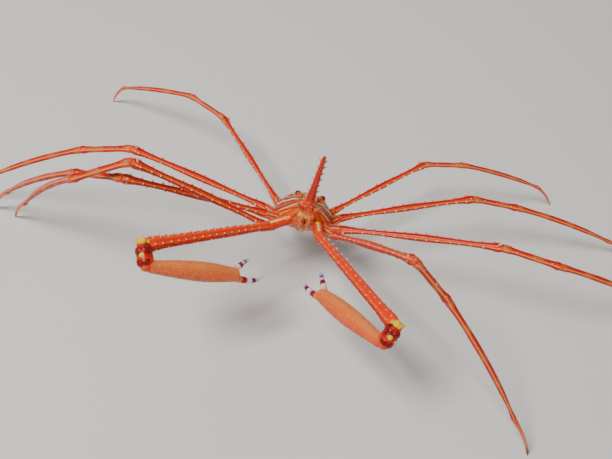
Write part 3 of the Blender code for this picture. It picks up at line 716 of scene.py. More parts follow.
def along_tube(joints, profile, bow=0.0, reach=1.0):
    """Place on a limb's skin, up to a share of its length, with its outward and onward directions, for setae."""
    start, end = joints
    along = unit(end - start)
    top = unit(UP - along * (along @ UP))
    side = np.cross(along, top)

    def place(share, turn):
        share = share * reach
        out = np.cos(turn)[:, None] * top + np.sin(turn)[:, None] * side
        return bowed(start, end, bow, share) + out * hermite(share, *profile)[:, None], out, along
    return place


def walking_leg(name):
    """All pieces of one walking leg."""
    joints, ways = LEGS[name]
    thick = MERUS_RADIUS[name.split("_")[0]]
    profiles = {part: sized(profile, thick) for part, profile in PROFILES.items()}
    base = limb(joints[0], joints[1], sized(PROFILES["base"], BASE_RADIUS), ridges=0.0)
    merus, carpus, propodus, dactyl = [
        limb(joints[k], joints[k + 1], profiles[part], BOWS[part], lead=ways[k - 1])
        for k, part in enumerate(("merus", "carpus", "propodus", "dactylus"), 1)]
    dactyl[0][:, 2] = np.maximum(dactyl[0][:, 2], 0.0)
    make(name + "_root", [base], LEG_ROOT, "leg", name + "_base")
    make(name + "_upper", [merus], LEG, "leg", name + "_merus")
    make(name + "_lower", [carpus, propodus], SHIN, "leg", name + "_carpus", name + "_propodus")
    make(name + "_dactyl", [dactyl], FOOT, "foot", name + "_dactylus")

    fat = np.array(MEMBRANE_FAT) * (BASE_RADIUS, thick, thick, thick)
    seals, hinges = [], []
    for k, size in enumerate(fat, 1):
        seals.append(ball(joints[k], ways[k - 1] + ways[k], size * 0.85, size * 0.88))
        pin = unit(np.cross(ways[k - 1], ways[k]) + 1e-6)
        for side in (1, -1):
            hinges.append(ball(joints[k] + pin * side * size * 0.83, pin, size * 0.22, size * 0.27, 12))
    make(name + "_membranes", seals + hinges, MEMBRANE, "leg")

    rows = row_of_thorns(joints[1:3], lambda s: hermite(s, *profiles["merus"]), *SPINULES, BOWS["merus"])
    small = row_of_thorns(joints[1:3], lambda s: np.full_like(s, thick), *LOWER_THORNS, BOWS["merus"])
    out = unit(ways[1] - ways[2])
    out = unit(out - ways[1] * (out @ ways[1]))
    side = np.cross(ways[1], out)
    root = joints[2] - ways[1] * 0.0014 + out * thick * 0.9
    aside, below = side * thick * 0.75, out * thick * 0.3
    knee = thorns([root, root + aside - below, root - aside - below],
                  [out + ways[1] * 0.8, out + ways[1] * 0.9 + side, out + ways[1] * 0.9 - side],
                  KNEE_LENGTHS, KNEE_RADII, bend=ways[1])
    shin = row_of_thorns(joints[2:4], lambda s: np.full_like(s, thick * 0.85), *SHIN_THORNS)
    make(name + "_spinules", [rows, small, knee, shin], SPINE, "leg", name + "_merus")
    skin = along_tube(joints[4:6], profiles["dactylus"], BOWS["dactylus"], reach=0.74)
    setae(name + "_dactyl_setae", skin, FOOT_HAIRS, "foot", (name + "_dactylus",), (-2.1, 2.1))


for name in LEGS:
    walking_leg(name)
print("walking legs:", len(LEGS))

# %% [markdown]
# ## Claw legs
# The claws are thicker than the legs and folded back at a short knobbed wrist. Each hand is a swollen spindle
# with two thin fingers that meet at hooked tips. The fingers get teeth on their inner edges, and the hands a
# coat of very short setae, which gives them their soft edge in the picture.

# %% Claw legs
ARM_THORNS = (-45, 5, 50), 0.0021, 0.00080  # turns from the top in degrees, step, length
ARM_SIDE_THORNS = (95, -95), 0.0034, 0.00045
PALM_THORNS = (-28, 24), 0.0013, 0.00034
ARM_SHARES = (0.0, 0.02, 0.06, 0.3, 0.6, 0.85, 0.95, 0.98, 1.0)
ARM_SWELL = (1.0, 1.1, 0.98, 1.0, 1.0, 1.0, 1.08, 0.96, 0.98)               # collars at both ends
PALM_SHARES = (0.0, 0.04, 0.18, 0.40, 0.60, 0.80, 0.95, 1.0)
WRIST = ((0.0, 0.15, 0.35, 0.6, 0.85, 1.0), (0.00150, 0.00180, 0.00176, 0.00190, 0.00182, 0.00150))
# Knobs and bosses of the wrist: share of its length, then how far towards high and out, then size
WRIST_KNOBS = ((-0.16, 1, 0, 1.2), (-0.14, 1, 1.3, 0.95), (-0.20, -0.2, 1, 0.85), (-0.10, 1, -1, 0.8),
               (0.52, 1, 0.5, 0.95), (0.62, -0.4, 1, 0.7))
WRIST_BOSSES = ((0.28, 1, -0.4, 1.2), (0.30, 0, 1, 1.3), (0.30, -1, 0, 1.3), (0.80, 1, 0, 1.3), (0.82, 0, 1, 1.25),
                (0.82, 0, -1, 1.2), (0.80, -1, 0, 1.2))
LUMP_HEIGHT, BOSS_WIDTH, KNOB_WIDTH = 0.00056, 0.00088, 0.00070
BOSS_STAND, KNOB_STAND, ELBOW_STAND = 0.00128, 0.00162, 0.00126     # from the wrist's axis to a lump's middle
TEETH, TOOTH_SIZES = 12, (0.00026, 0.00030, 0.00015)
PALM_HAIRS = 3600, 0.00042, 0.000016, 0.5   # number, length, thickness, lean
ARM_HAIRS = 900, 0.00038, 0.000015, 0.6


def finger(line, palm_end, along, across, inward, pale_at):
    """Finger shell and its row of teeth along the inner edge, from a table of places and radii. The teeth are
    given the mark of the place where the finger is pale."""
    path = palm_end + along * line[:, :1] + across * line[:, 1:2]
    knots = distances(path)
    path = smooth_path(path, 0.00010)
    far = distances(path)
    radii = hermite(far / far[-1], knots / knots[-1], line[:, 2]) * rounded(far, far[-1], 0.0004, 0.0005)
    first = 0.52 if inward > 0 else 0.30
    at = np.linspace(first, 0.92, TEETH)
    towards = across * inward
    size = np.interp(at, (first, 0.7, 0.92), TOOTH_SIZES)
    roots = points_at(path, far / far[-1], at) + towards * (np.interp(at, far / far[-1], radii) * 0.8)[:, None]
    teeth = thorns(roots, towards, size, size * 0.62, bend=along, hook=0.1, sides=8, sink=0.6)
    teeth[2][:, 1] = pale_at
    return tube(path, radii, np.cross(along, across), 24, 0.90), teeth


def claw_leg(side):
    """All pieces of one claw leg."""
    name = "claw_" + side
    joints, (base_way, merus_way, carpus_way, palm_way) = CLAWS[side]
    arm = ARM_SHARES, np.interp(ARM_SHARES, np.linspace(0, 1, 5), CLAW_MERUS_RADII) * ARM_SWELL
    palm = PALM_SHARES, np.interp(PALM_SHARES, np.linspace(0, 1, len(PALM_RADII)), PALM_RADII)
    root_shell = limb(joints[0], joints[1], sized(PROFILES["base"], CLAW_BASE_RADIUS), ridges=0.0)
    arm_shell = limb(joints[1], joints[2], arm, ridges=0.05, lead=base_way)
    wrist_shell = limb(joints[2], joints[3], sized(WRIST, 1.0), ridges=0.05, around=28, lead=merus_way)
    palm_shell = limb(joints[3], joints[4], palm, ridges=0.02, around=32, lead=carpus_way)
    make(name + "_root", [root_shell], CLAW_ROOT, "leg", name + "_base")
    make(name + "_arm", [arm_shell], ARM, "leg", name + "_merus")

    out = unit(merus_way - palm_way)
    high = unit(UP - carpus_way * (carpus_way @ UP))
    bosses, knobs = [], []
    for lumps, table, wide in ((bosses, WRIST_BOSSES, BOSS_WIDTH), (knobs, WRIST_KNOBS, KNOB_WIDTH)):
        for share, upward, outward, size in table:
            way = high * upward + out * outward
            stand = BOSS_STAND if lumps is bosses else ELBOW_STAND if share < 0 else KNOB_STAND
            middle = joints[2] + (joints[3] - joints[2]) * share + unit(way) * stand
            lumps.append(ball(middle, way, LUMP_HEIGHT * size, wide * size, 22))
    make(name + "_carpus", [wrist_shell, *bosses], WRIST_SHELL, "claw_joint", name + "_carpus")
    make(name + "_knobs", knobs, KNOB, "claw_joint", name + "_carpus")
    make(name + "_palm", [palm_shell], PALM_SHELL, "palm", name + "_palm")

    across = unit((merus_way @ palm_way) * palm_way - merus_way)
    fixed, fixed_teeth = finger(FIXED_FINGER, joints[4], palm_way, across, 1, 6.4)
    moving, moving_teeth = finger(MOVING_FINGER, joints[4], palm_way, across, -1, 1.5)
    hinge = ball(joints[4] - palm_way * 0.0007 + across * 0.0013, palm_way + across, 0.0006, 0.00088, 18)
    make(name + "_fixed_finger", [fixed, fixed_teeth], FINGER_SHELL, "finger", name + "_palm")
    make(name + "_moving_finger", [moving, moving_teeth, hinge], MOVING_SHELL, "finger", name + "_dactyl")
    seals = [ball(joints[1], base_way + merus_way, 0.0011, 0.00112),
             ball(joints[2], merus_way + carpus_way, 0.0013, 0.00145)]
    make(name + "_membranes", seals, MEMBRANE, "leg")
    make(name + "_wrist_membrane", [ball(joints[3], carpus_way + palm_way, 0.0012, 0.00130)], MEMBRANE, "claw_joint")
    shoulder = around_axis(base_way, 0.0)
    coxa = [ball(joints[0] + base_way * 0.0016 + shoulder * 0.00098, shoulder - base_way * 0.3, 0.0004, 0.00072)]
    make(name + "_coxa_knob", coxa, KNOB, "leg", name + "_base")

    rows = row_of_thorns(joints[1:3], lambda s: hermite(s, *arm), *ARM_THORNS, ends=(0.0034, 0.0020))
    small = row_of_thorns(joints[1:3], lambda s: hermite(s, *arm), *ARM_SIDE_THORNS)
    make(name + "_spinules", [rows, small], SPINE, "leg", name + "_merus")
    crest = row_of_thorns(joints[3:5], lambda s: hermite(s, *palm), *PALM_THORNS, ends=(0.0020, 0.0018), jitter=0.3)
    make(name + "_palm_spinules", [crest], SPINE, "palm", name + "_palm")
    setae(name + "_palm_setae", along_tube(joints[3:5], palm), PALM_HAIRS, "palm", (name + "_palm",))
    setae(name + "_arm_setae", along_tube(joints[1:3], arm), ARM_HAIRS, "leg", (name + "_merus",))


for side in CLAWS:
    claw_leg(side)
print("claw legs:", len(CLAWS))

# %% [markdown]
# ## Body
# The back shell is swollen in regions that follow the organs below: one over the stomach, one over the heart
# and two over the gills, with grooves between them. It could be sculpted. Instead each region is a
# bell-shaped rise added to the solids' own sections, so that every size is a number.
# Stripes run back from the beak and spread with the shell, so their colour goes by the turn from the middle line.

# %% Body
REGIONS = np.array([          # a, l, reach along a, reach along l, rise, all in mm
    (3.4, 0.0, 2.8, 2.3, 0.55), (-3.9, 0.0, 1.7, 1.7, 0.65), (-7.2, 0.0, 1.1, 1.5, 0.30),
    (-3.4, 4.3, 3.0, 1.9, 0.50), (0.4, 4.3, 1.7, 1.4, 0.28), (4.8, 3.2, 1.2, 1.0, 0.35), (7.2, 1.6, 0.9, 0.7, 0.25),
]) / 1000
NECK_GROOVE, NECK_WIDTH, NECK_REACH = 0.00042, 0.00055, 0.0048      # depth, width, how far aside
GILL_GROOVE, GILL_WIDTH, GILL_REACH = 0.00036, 0.0005, 0.0030       # depth, width, how far along
GILL_PLACE = (-0.0040, 0.0023)          # middle of the gill grooves: a, l
BACK_HAIRS = 2600, 0.00028, 0.000013, 0.9   # number, length, thickness, lean
HEAD_END = 19.4               # mm forward of the tail end
WANDER = 0.03                 # of the stripes, as a share of half a turn


def section(a, column):
    """One column of the body's sections at places along the back, by a smooth curve through the table."""
    return hermite(a, BODY_SECTIONS[:, 0], BODY_SECTIONS[:, column])


def body_grid(rows, columns):
    """Coordinates of the whole body's skin: l is the half width times the sine of the turn, d the height or depth
    times its cosine. Regions and grooves push the skin outward along the ring's own normal."""
    a = np.linspace(BODY_SECTIONS[0, 0], BODY_SECTIONS[-1, 0], rows)
    half, height, depth = (section(a, column) for column in (1, 2, 3))
    ends = rounded(a - a[0], a[-1] - a[0], 0.0010, 0.0008)
    turns = circle(columns)
    tall = np.where(np.cos(turns) >= 0, height[:, None], depth[:, None]) * ends[:, None]
    wide = (half * ends)[:, None]
    l, d = -wide * np.sin(turns), tall * np.cos(turns)
    a = np.broadcast_to(a[:, None], l.shape).copy()
    off = np.abs(l)
    rise = np.zeros(l.shape)
    for centre, aside, reach, spread_l, amount in REGIONS:
        rise += amount * np.exp(-((a - centre) / reach) ** 2 - ((off - aside) / spread_l) ** 2)
    rise -= NECK_GROOVE * np.exp(-((a - 0.0001 - 0.45 * off) / NECK_WIDTH) ** 2 - (off / NECK_REACH) ** 4)
    along, aside = GILL_PLACE
    rise -= GILL_GROOVE * np.exp(-((off - aside) / GILL_WIDTH) ** 2 - ((a - along) / GILL_REACH) ** 4)
    back = np.clip(np.cos(turns) * 3 + 0.6, 0, 1)
    normal = unit(np.stack([l / wide ** 2, d / tall ** 2], -1) + 1e-12)
    rise = rise * back * ends[:, None]
    return a, l + normal[..., 0] * rise, d + normal[..., 1] * rise, turns, normal


a, l, d, turns, normal = body_grid(rows=170, columns=144)


def body_shell(skin_l, skin_d):
    """Closed shell on the body's grid, with l and d changed. Its marks are the turn from the middle of the back,
    millimetres forward of the tail end and millimetres aside."""
    lie = np.zeros((*a.shape, 3))
    lie[..., 0] = 1 - np.abs(turns / np.pi - 1)
    lie[..., 1] = (a - BODY_SECTIONS[0, 0]) * 1000
    lie[..., 2] = np.abs(l) * 1000
    return closed(on_body(a, skin_l, skin_d), lie)


print("body skin", a.shape, "points, mm wide", round(float(np.ptp(l)) * 1000, 1))

# %% Body colours
STRIPES = (
    "0 #FFDC90, 0.016 #FFC860, 0.024 #501000, 0.045 #D87014, 0.07 #E88420, 0.079 #4A0A00, 0.088 #FFE4A8, "
    "0.104 #FFD88C, 0.114 #581000, 0.135 #E05408, 0.17 #DC6410, 0.18 #3C0600, 0.19 #FFE4A8, 0.204 #FFD080, "
    "0.214 #500A00, 0.24 #DC3800, 0.285 #E46010, 0.296 #400600, 0.307 #FFCC70, 0.32 #F0A040, 0.332 #5C0C00, "
    "0.384 #F05408, 0.396 #FFECB8, 0.42 #FFE4A8, 0.43 #400600, 0.455 #A04C04, 0.49 #F83000, 0.526 #C01000, "
    "0.54 #340002, 0.554 #FFDC90, 0.57 #FFE4A8, 0.582 #FF6404")


def striped(name, stops, head="#FF4A00", warm=0.7):
    """Body shell: a ramp of stripes over the turn, wandering a little, warmed towards the head and flecked. The
    stripes close up towards the beak, so the turn is raised there."""
    made, tree, place, lie = fresh(name)
    _, turn = drifting(tree, place, BODY_DRIFT, 5.0, WANDER, lie["X"])
    closing = add(tree, "MapRange", {0: lie["Y"], 1: 9.2, 2: HEAD_END, 3: -WANDER / 2, 4: 0.12 - WANDER / 2})
    level = add(tree, "Math", {0: turn, 1: closing}, operation="ADD")
    lines = add(tree, "ValToRGB", {"Fac": level}, stops)
    front = add(tree, "MapRange", {0: lie["Y"], 1: 18.6, 2: HEAD_END, 3: 0.0, 4: warm})
    skin = add(tree, "Mix", {0: front, 6: lines, 7: colour(head)}, out=2, data_type="RGBA")
    skin = flecked(tree, place, skin, BODY_FLECKS, (0.12, 0.42), 0.10, "#FF8A24")
    return surface(made, skin, BODY_PITS, 0.36, 0.00004)


# Back: satin shell with dark-edged cream stripes
SHELL = striped("carapace_cuticle", STRIPES)
# Sternum: the same shell, with two pale lines
BELLY = striped(
    "sternum_cuticle", "0.55 #FFD880, 0.57 #FFE4A8, 0.582 #FF5400, 0.63 #FF6804, 0.655 #FFB840, 0.675 #E02C00, "
    "0.72 #FF5C00, 0.79 #FF8014, 0.82 #B81C00, 0.85 #F86000, 1 #F85C08", head="#FF5C00", warm=0.5)
print("stripes on the back:", STRIPES.count("#"), "stops")

# %% Body pieces
SEAM = -0.0008                # height of the line between back shell and underside
NOTCHES = (0.00325, 0.00050, -0.00230, -0.00500)     # middles of the grooves between the sternum's plates
NOTCH_DEPTH, NOTCH_WIDTH, MIDDLE_LINE = 0.00032, 0.00028, 0.00025
KEEL_PATH = ((0.0128, 0, -0.0003), (0.0110, 0, -0.0007), (0.0093, 0, -0.0014), (0.0079, 0, -0.0022),
             (0.0066, 0, -0.0029))
KEEL_RADII = (0.0007, 0.00110, 0.00120, 0.00190, 0.00200)
KEEL_FLAT = (0.85, 0.80, 0.72, 0.50, 0.32)
make("carapace_shell", [body_shell(l, np.maximum(d, SEAM + 0.0001))], SHELL, "shell", "carapace")

notches = np.zeros(a.shape)
for middle in NOTCHES:
    notches += NOTCH_DEPTH * np.exp(-((a - middle - 0.15 * np.abs(l)) / NOTCH_WIDTH) ** 2)
notches += MIDDLE_LINE * np.exp(-(l / MIDDLE_LINE) ** 2)
plates = body_shell(l - normal[..., 0] * notches, np.minimum(d - normal[..., 1] * notches, SEAM - 0.0001))
make("sternum_plates", [plates], BELLY, "underside", "sternum")

# The front of the head, or epistome, carries the beak's underside down to the mouth as one keel
keel_line = smooth_path([on_body(*point) for point in KEEL_PATH], 0.0001)
far = np.linspace(0, 1, len(keel_line))
keel_width = even(far, KEEL_RADII) * rounded(far, 1.0, 0.08, 0.12)
creases = 1 - 0.05 * np.cos(6 * circle(48)) * np.clip(far * 3, 0, 1)[:, None]
keel = tube(keel_line, keel_width[:, None] * creases, -OUT, 48, even(far, KEEL_FLAT)[:, None, None])
# Epistome: shell mottled orange, with a cream patch of painted highlight beside the mouth
KEEL = along_colours(
    "epistome_cuticle", "0 #F42C00, 0.35 #FF4C00, 0.58 #FF7814, 0.68 #FFB860, 0.8 #FFD888, 0.86 #FF9838, "
    "0.93 #D83400, 1 #900C00", 7.4, roughness=0.36, wander=2.2, speck="#E03400", specks=0.5)
make("epistome", [keel], KEEL, "underside", "sternum")

BACK_THORNS = np.array([(4.5, 0.0, 1.5), (-0.5, 3.3, 1.3), (-6.0, 0.0, 1.3), (7.0, 1.7, 1.4), (-3.5, 5.5, 1.3),
                        (2.0, 0.0, 0.6), (5.4, 3.1, 0.7), (2.2, 4.4, 0.5), (-1.8, 5.9, 0.6), (-5.8, 5.4, 0.6),
                        (-4.0, 0.0, 0.8), (8.6, 1.5, 0.8)]) / 1000


def back_points(table):
    """Roots and ways of the thorns in a table, each one off the middle line given a twin across it."""
    twins = np.vstack([table, table[table[:, 1] > 0] * (1, -1, 1)])
    half, height = section(twins[:, 0], 1), section(twins[:, 0], 2)
    level = height * np.sqrt(np.clip(1 - (twins[:, 1] / half) ** 2, 0.02, 1)) + 0.00015
    roots = on_body(twins[:, 0], twins[:, 1], level)
    ways = 0.4 * FORWARD + (twins[:, 1] / half)[:, None] * 0.9 * LEFT + OUT
    return roots, ways, twins[:, 2]


roots, ways, sizes = back_points(BACK_THORNS)
bosses = thorns(roots, ways, sizes, sizes * 0.30, bend=FORWARD, sides=12, sink=0.35)
make("carapace_thorns", [bosses], SPINE, "shell", "carapace")


def back_skin(share, turn):
    """Place on the back shell for the coat of setae."""
    at = BODY_SECTIONS[0, 0] + 0.0008 + share * (BODY_SECTIONS[-1, 0] - BODY_SECTIONS[0, 0] - 0.0016)
    half, height = section(at, 1), section(at, 2)
    out = unit(np.cos(turn)[:, None] * OUT - (np.sin(turn) * height / half)[:, None] * LEFT)
    return on_body(at, -half * np.sin(turn), height * np.cos(turn)), out, -FORWARD


setae("carapace_setae", back_skin, BACK_HAIRS, "shell", ("carapace",), (-1.5, 1.5))
print("thorns on the back:", len(sizes), "and hairs:", BACK_HAIRS[0])

# %% [markdown]
# ## Beak
# The beak, or rostrum, is longer than the shell. It is a tapered rod with a groove on top and a row of white-tipped
# spines down each side, with smaller ones between them, and pale hairs along the sides.

# %% Beak
BEAK_FLARE = 0.00012              # the root widens into the body by this much
BEAK_HAIRS = 1500, 0.00050, 0.000012, 0.8    # number, length, thickness, lean
# Large spines, small ones between them, prickles below and above: step, length, heights, free ends, chance, lean
BEAK_ROWS = ((0.0028, 0.0014, (0.25,), (0.0022, 0.0022), 0.08, 0.7),
             (0.0009, 0.00045, (0.30,), (0.0012, 0.0010), 0.25, 0.7),
             (0.0014, 0.00035, (-0.6, 1.1), (0.0014, 0.0015), 0.3, 0.6))
beak_root = on_body(BEAK_ROOT - 0.0012, 0.0, BEAK_DROP)
beak_start = on_body(BEAK_ROOT + 0.0003, 0.0, BEAK_DROP)
beak_tip = on_body(BEAK_ROOT + BEAK_LENGTH, 0.0, BEAK_RISE)
beak_way = unit(beak_tip - beak_start)
beak_line = np.vstack([beak_root + (beak_start - beak_root) * np.linspace(0, 1, 8, endpoint=False)[:, None],
                       beak_start + (beak_tip - beak_start) * np.linspace(0, 1, 110)[:, None]])
far = np.linalg.norm(beak_line - beak_line[0], axis=1)
beak_share = (far / far[-1] * 1.05 - 0.05).clip(0, 1)
beak_width = even(beak_share, BEAK_RADII) + BEAK_FLARE * np.exp(-((far - 0.0008) / 0.0015) ** 2)
beak_width *= rounded(far, far[-1], 0.0004, 0.0012)
fold = np.minimum(circle(28), 2 * np.pi - circle(28))
groove = 1 - 0.13 * np.exp(-(fold / 0.4) ** 2) + 0.05 * np.exp(-((fold - 1.5) / 0.3) ** 2)
beak = tube(beak_line, beak_width[:, None] * groove, OUT, 28, 0.94)
# Beak: satin shell, deep red with a cream line on each side
BEAK = cuticle(
    "beak_cuticle", "0 #F02C00, 0.2 #D00800, 0.44 #BC0200, 0.475 #FFC468, 0.56 #FFE4A8, 0.585 #E01000, 0.72 #D40600, "
    "1 #F02800", ring="#FF5400", reach=(2.2, 5.0), wander=0.05, flecks=0.15, one_end=True)
make("beak", [beak], BEAK, "rostrum", "rostrum")


def beak_rows(step, length, heights, ends, chance, lean):
    """Rows of thorns down both sides of the beak, each way made of one part sideways and a height outward."""
    whole = np.linalg.norm(beak_tip - beak_start)
    count = int((whole - sum(ends)) / step) + 1
    roots, ways = [], []
    for side in (1, -1):
        for height in heights:
            at = (ends[0] + (np.arange(count) + rng.uniform(-chance, chance, count)) * step) / whole
            out = unit(side * LEFT + height * OUT)
            roots.append(beak_start + beak_way * (at * whole)[:, None] + out * (even(at, BEAK_RADII) * 0.85)[:, None])
            ways.append(np.broadcast_to(out + beak_way * lean, (count, 3)))
    roots = np.vstack(roots)
    sizes = length * rng.uniform(0.8, 1.15, len(roots))
    return thorns(roots, np.vstack(ways), sizes, sizes * 0.19, bend=beak_way, sides=9)


make("beak_spines", [beak_rows(*row) for row in BEAK_ROWS], SPINE, "rostrum", "rostrum")


def beak_skin(share, turn):
    """Place on the beak for its hairs, which keep to a band along each side."""
    out = unit(np.where(np.cos(turn) >= 0, 1, -1)[:, None] * LEFT + (0.55 * np.sin(turn))[:, None] * OUT)
    width = even(share, BEAK_RADII) * 0.93
    return beak_start + (beak_tip - beak_start) * share[:, None] + out * width[:, None], out, beak_way


setae("beak_setae", beak_skin, BEAK_HAIRS, "rostrum", ("rostrum",))
print("beak length", round(float(np.linalg.norm(beak_tip - beak_start)) * 1000, 1), "mm")

# %% [markdown]
# ## Eyes, feelers and mouth
# The eyes stand out on short stalks beside the beak. Each has a bulging cornea made of thousands of facets,
# too fine to model, so a cell pattern a thirtieth of a millimetre wide gives them. Below the beak lie the
# feelers on their swollen roots, and the outer jaw legs close over the mouth like two doors.

# %% Head
# Paths along the body's axes: forward, aside and out of the back
EYE_PATH = ((0.0080, 0.0012, 0.0012), (0.0088, 0.0021, 0.0017), (0.0094, 0.0027, 0.0020), (0.0099, 0.0033, 0.0022),
            (0.0102, 0.0037, 0.0023))
ANTENNA_PATH = ((0.0085, 0.0010, -0.0010), (0.0115, 0.0022, -0.0016), (0.0150, 0.0027, -0.0019),
                (0.0205, 0.0030, -0.0016))
FOLDED_PATH = ((0.0092, 0.0005, -0.0014), (0.0108, 0.0008, -0.0016), (0.0120, 0.0007, -0.0013),
               (0.0116, 0.0004, -0.0010))
JAW_PATH = ((0.0022, 0.0010, -0.0040), (0.0032, 0.0010, -0.0040), (0.0058, 0.0010, -0.0038), (0.0078, 0.0010, -0.0034),
            (0.0086, 0.0009, -0.0032))
PALP_PATH = ((0.0082, 0.0013, -0.0038), (0.0072, 0.0007, -0.0043), (0.0058, 0.00035, -0.0044),
             (0.0046, 0.0003, -0.0043))
# Radii: shares of the length, then metres
STALK_RADII = ((0.0, 0.25, 0.45, 0.60, 0.75, 1.0), (0.00056, 0.00054, 0.00066, 0.00080, 0.00072, 0.00030))
FEELER_RADII = ((0, 0.18, 0.21, 0.33, 0.36, 0.48, 0.52, 1.0),
                (0.00044, 0.00046, 0.00036, 0.00040, 0.00031, 0.00034, 0.00025, 0.00013))
FOLDED_RADII = ((0, 0.5, 1), (0.00034, 0.00026, 0.00012))
DOOR_RADII = ((0.0, 0.08, 0.20, 0.50, 0.56, 0.60, 0.75, 0.92, 1.0),
              (0.00042, 0.00070, 0.00082, 0.00080, 0.00066, 0.00072, 0.00074, 0.00052, 0.00028))
PALP_RADII = ((0, 0.3, 0.33, 0.62, 0.66, 1), (0.30, 0.28, 0.22, 0.24, 0.19, 0.07))     # in mm
FEELER_RING = 0.30            # mm from one ring of the feeler to the next
HEAD_STEP, JAW_STEP = 0.00008, 0.00007  # between the points of a path
EYE_REACH, EYE_RADIUS = 0.00098, 0.00086
FEELER_HAIR, COMB_HAIR = (0.00055, 0.000012), (0.00060, 0.000016)   # length, thickness
COMB_HAIRS = 60

# Eye stalks: shell in orange and cream, dark under the eye
STALK = along_colours("eye_stalk_cuticle", "0 #D9652E, 0.45 #F0C070, 0.7 #C8502A, 1 #8A2418", 2.6, wander=0.4)
# Cornea: a clear, wet lens over dark pigment, so a small sharp highlight. The facets are near life size
CORNEA, tree, place, lie = fresh("eye_cornea")
_, depth_in = drifting(tree, place, EYE_CLOUDS, 3.0, 0.6, lie["Y"])
glow = add(tree, "MapRange", {0: depth_in, 1: 0.75, 2: 2.3})
iris = add(
    tree, "ValToRGB", {"Fac": glow}, "0 #FFC070, 0.3 #FF9440, 0.62 #E0601C, 0.8 #A83410, 0.9 #5A1408, "
    "0.97 #180404")
surface(CORNEA, iris, FACETS, 0.22, 0.000014, **{"IOR": 1.50, "Coat Weight": 0.5, "Coat Roughness": 0.08})
# Feelers: thin shell, banded by their rings
FEELER = cuticle("feeler_cuticle", "0 #F89C50, 0.4 #E85010, 1 #B82800", reach=(0.1, 0.4), bands=(0.9, 0.5, "#FFD890"))
# Jaw legs: flat plates of shell in orange and red
MOUTH = cuticle(
    "mouth_plate_cuticle", "0 #F85C08, 0.1 #FFB458, 0.16 #A00808, 0.3 #F04C00, 0.44 #FF9C38, 0.52 #900610, "
    "0.68 #F04400, 0.84 #FF8420, 1 #DC3C00", ring="#FF9438", reach=(0.1, 0.35), fleck="#880408", wander=0.16,
    flecks=0.3)


def strand(path, spacing, radii, ends, **shape):
    """Path and shell of a tube whose radii follow a smooth curve over the share of its points, with rounded ends."""
    path = smooth_path(path, spacing)
    far = np.linspace(0, 1, len(path))
    return path, tube(path, hermite(far, *radii) * rounded(far, 1.0, *ends), **shape)


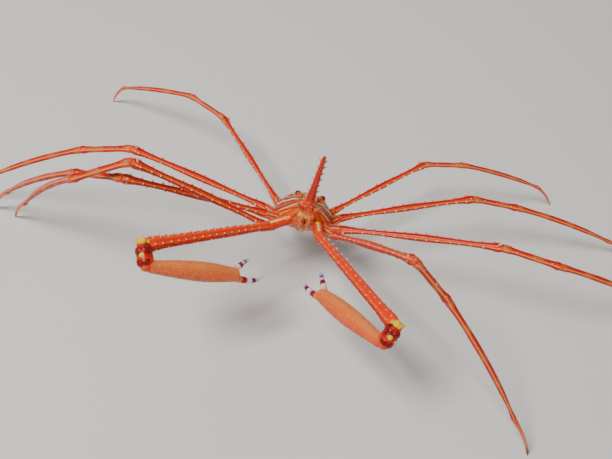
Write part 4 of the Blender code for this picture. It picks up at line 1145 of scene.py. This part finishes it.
for sign, side in SIDES.items():
    def beside(path):
        """World places of a path that lies on this side."""
        return np.array([on_body(forward, sign * aside, out) for forward, aside, out in path])

    eye, stalk = strand(beside(EYE_PATH), HEAD_STEP, STALK_RADII, (0.1, 0.2), around=28)
    make(f"eye_{side}_stalk", [stalk], STALK, "eye", f"eye_{side}")
    look = unit(eye[-1] - eye[len(eye) // 2])
    centre = eye[int(len(eye) * 0.72)]
    globe = ball(centre, look, EYE_REACH, EYE_RADIUS, 40, OUT)
    nub = thorns([centre + look * 0.00088], [look], [0.00028], [0.00012], bend=OUT, sides=10)
    make(f"eye_{side}_cornea", [globe, nub], CORNEA, "eye", f"eye_{side}")

    feeler = smooth_path(beside(ANTENNA_PATH), HEAD_STEP)
    far = np.linspace(0, 1, len(feeler))
    millimetres = far * np.linalg.norm(np.diff(feeler, axis=0), axis=1).sum() * 1000
    rings = 1 - 0.06 * np.clip(np.cos(millimetres * 2 * np.pi / FEELER_RING), 0, 1) ** 6
    flagellum = tube(feeler, hermite(far, *FEELER_RADII) * rings * rounded(far, 1.0, 0.02, 0.02), around=16)
    folded = smooth_path(beside(FOLDED_PATH), HEAD_STEP)
    shorter = tube(folded, np.interp(np.linspace(0, 1, len(folded)), *FOLDED_RADII), around=14)
    hairs_at = np.arange(int(len(feeler) * 0.3), len(feeler), 3)
    fine = thorns(np.repeat(feeler[hairs_at], 4, axis=0), rng.normal(0, 1, (len(hairs_at) * 4, 3)), *FEELER_HAIR,
                  sides=3, stands=3)
    make(f"antenna_{side}_feeler", [flagellum, shorter, fine], FEELER, "antenna", f"antenna_{side}")

    jaw, plate = strand(beside(JAW_PATH), JAW_STEP, DOOR_RADII, (0.03, 0.05), up=-OUT, around=24)
    palp = smooth_path(beside(PALP_PATH), JAW_STEP)
    palp_shell = tube(palp, np.interp(np.linspace(0, 1, len(palp)), *PALP_RADII) / 1000, -OUT, 14)
    edge = points_at(jaw, np.linspace(0, 1, len(jaw)), np.linspace(0.1, 0.95, COMB_HAIRS))
    down = -sign * 0.5 * LEFT - OUT + rng.normal(0, 0.3, (COMB_HAIRS, 3))
    comb = thorns(edge - sign * LEFT * 0.0006 - OUT * 0.0004, down, *COMB_HAIR, bend=FORWARD, sides=3, stands=3)
    make(f"maxilliped_{side}_plates", [plate, palp_shell, comb], MOUTH, "mouthpart", f"maxilliped_{side}")
print("eye, feeler and jaw on each side, points of an eye's path:", len(eye))

# %% [markdown]
# ## Tail flap
# The tail is folded flat under the body. It has six rings, the last a small half-moon. They could be six plates.
# One tube with five narrow waists is enough, because only the seams between the rings show.

# %% Tail flap
FLAP_PATH = ((-0.0078, 0, -0.0012), (-0.0068, 0, -0.0018), (-0.0048, 0, -0.0023), (-0.0020, 0, -0.0029),
             (0.0, 0, -0.0032), (0.0010, 0, -0.0036))
FLAP_RADII = (0.0008, 0.0011, 0.0013, 0.0012, 0.0010, 0.0005)
SEAMS = np.array([0.18, 0.34, 0.50, 0.66, 0.82])     # shares of the flap's length
flap_line = smooth_path([on_body(*point) for point in FLAP_PATH], HEAD_STEP)
far = np.linspace(0, 1, len(flap_line))
waists = 1 - 0.07 * np.exp(-((far[:, None] - SEAMS) / 0.012) ** 2).sum(1)
flap = tube(flap_line, even(far, FLAP_RADII) * waists * rounded(far, 1.0, 0.02, 0.03), -OUT, 40)
# Tail flap: thin, pale shell
FLAP = cuticle(
    "tail_flap_cuticle", "0 #E8B088, 0.2 #D8744A, 0.5 #B8462A, 1 #E4A070", reach=(0.1, 0.4),
    bands=(1.5, 0.4, "#F2D2A8"))
make("tail_flap", [flap], FLAP, "underside", "abdomen")
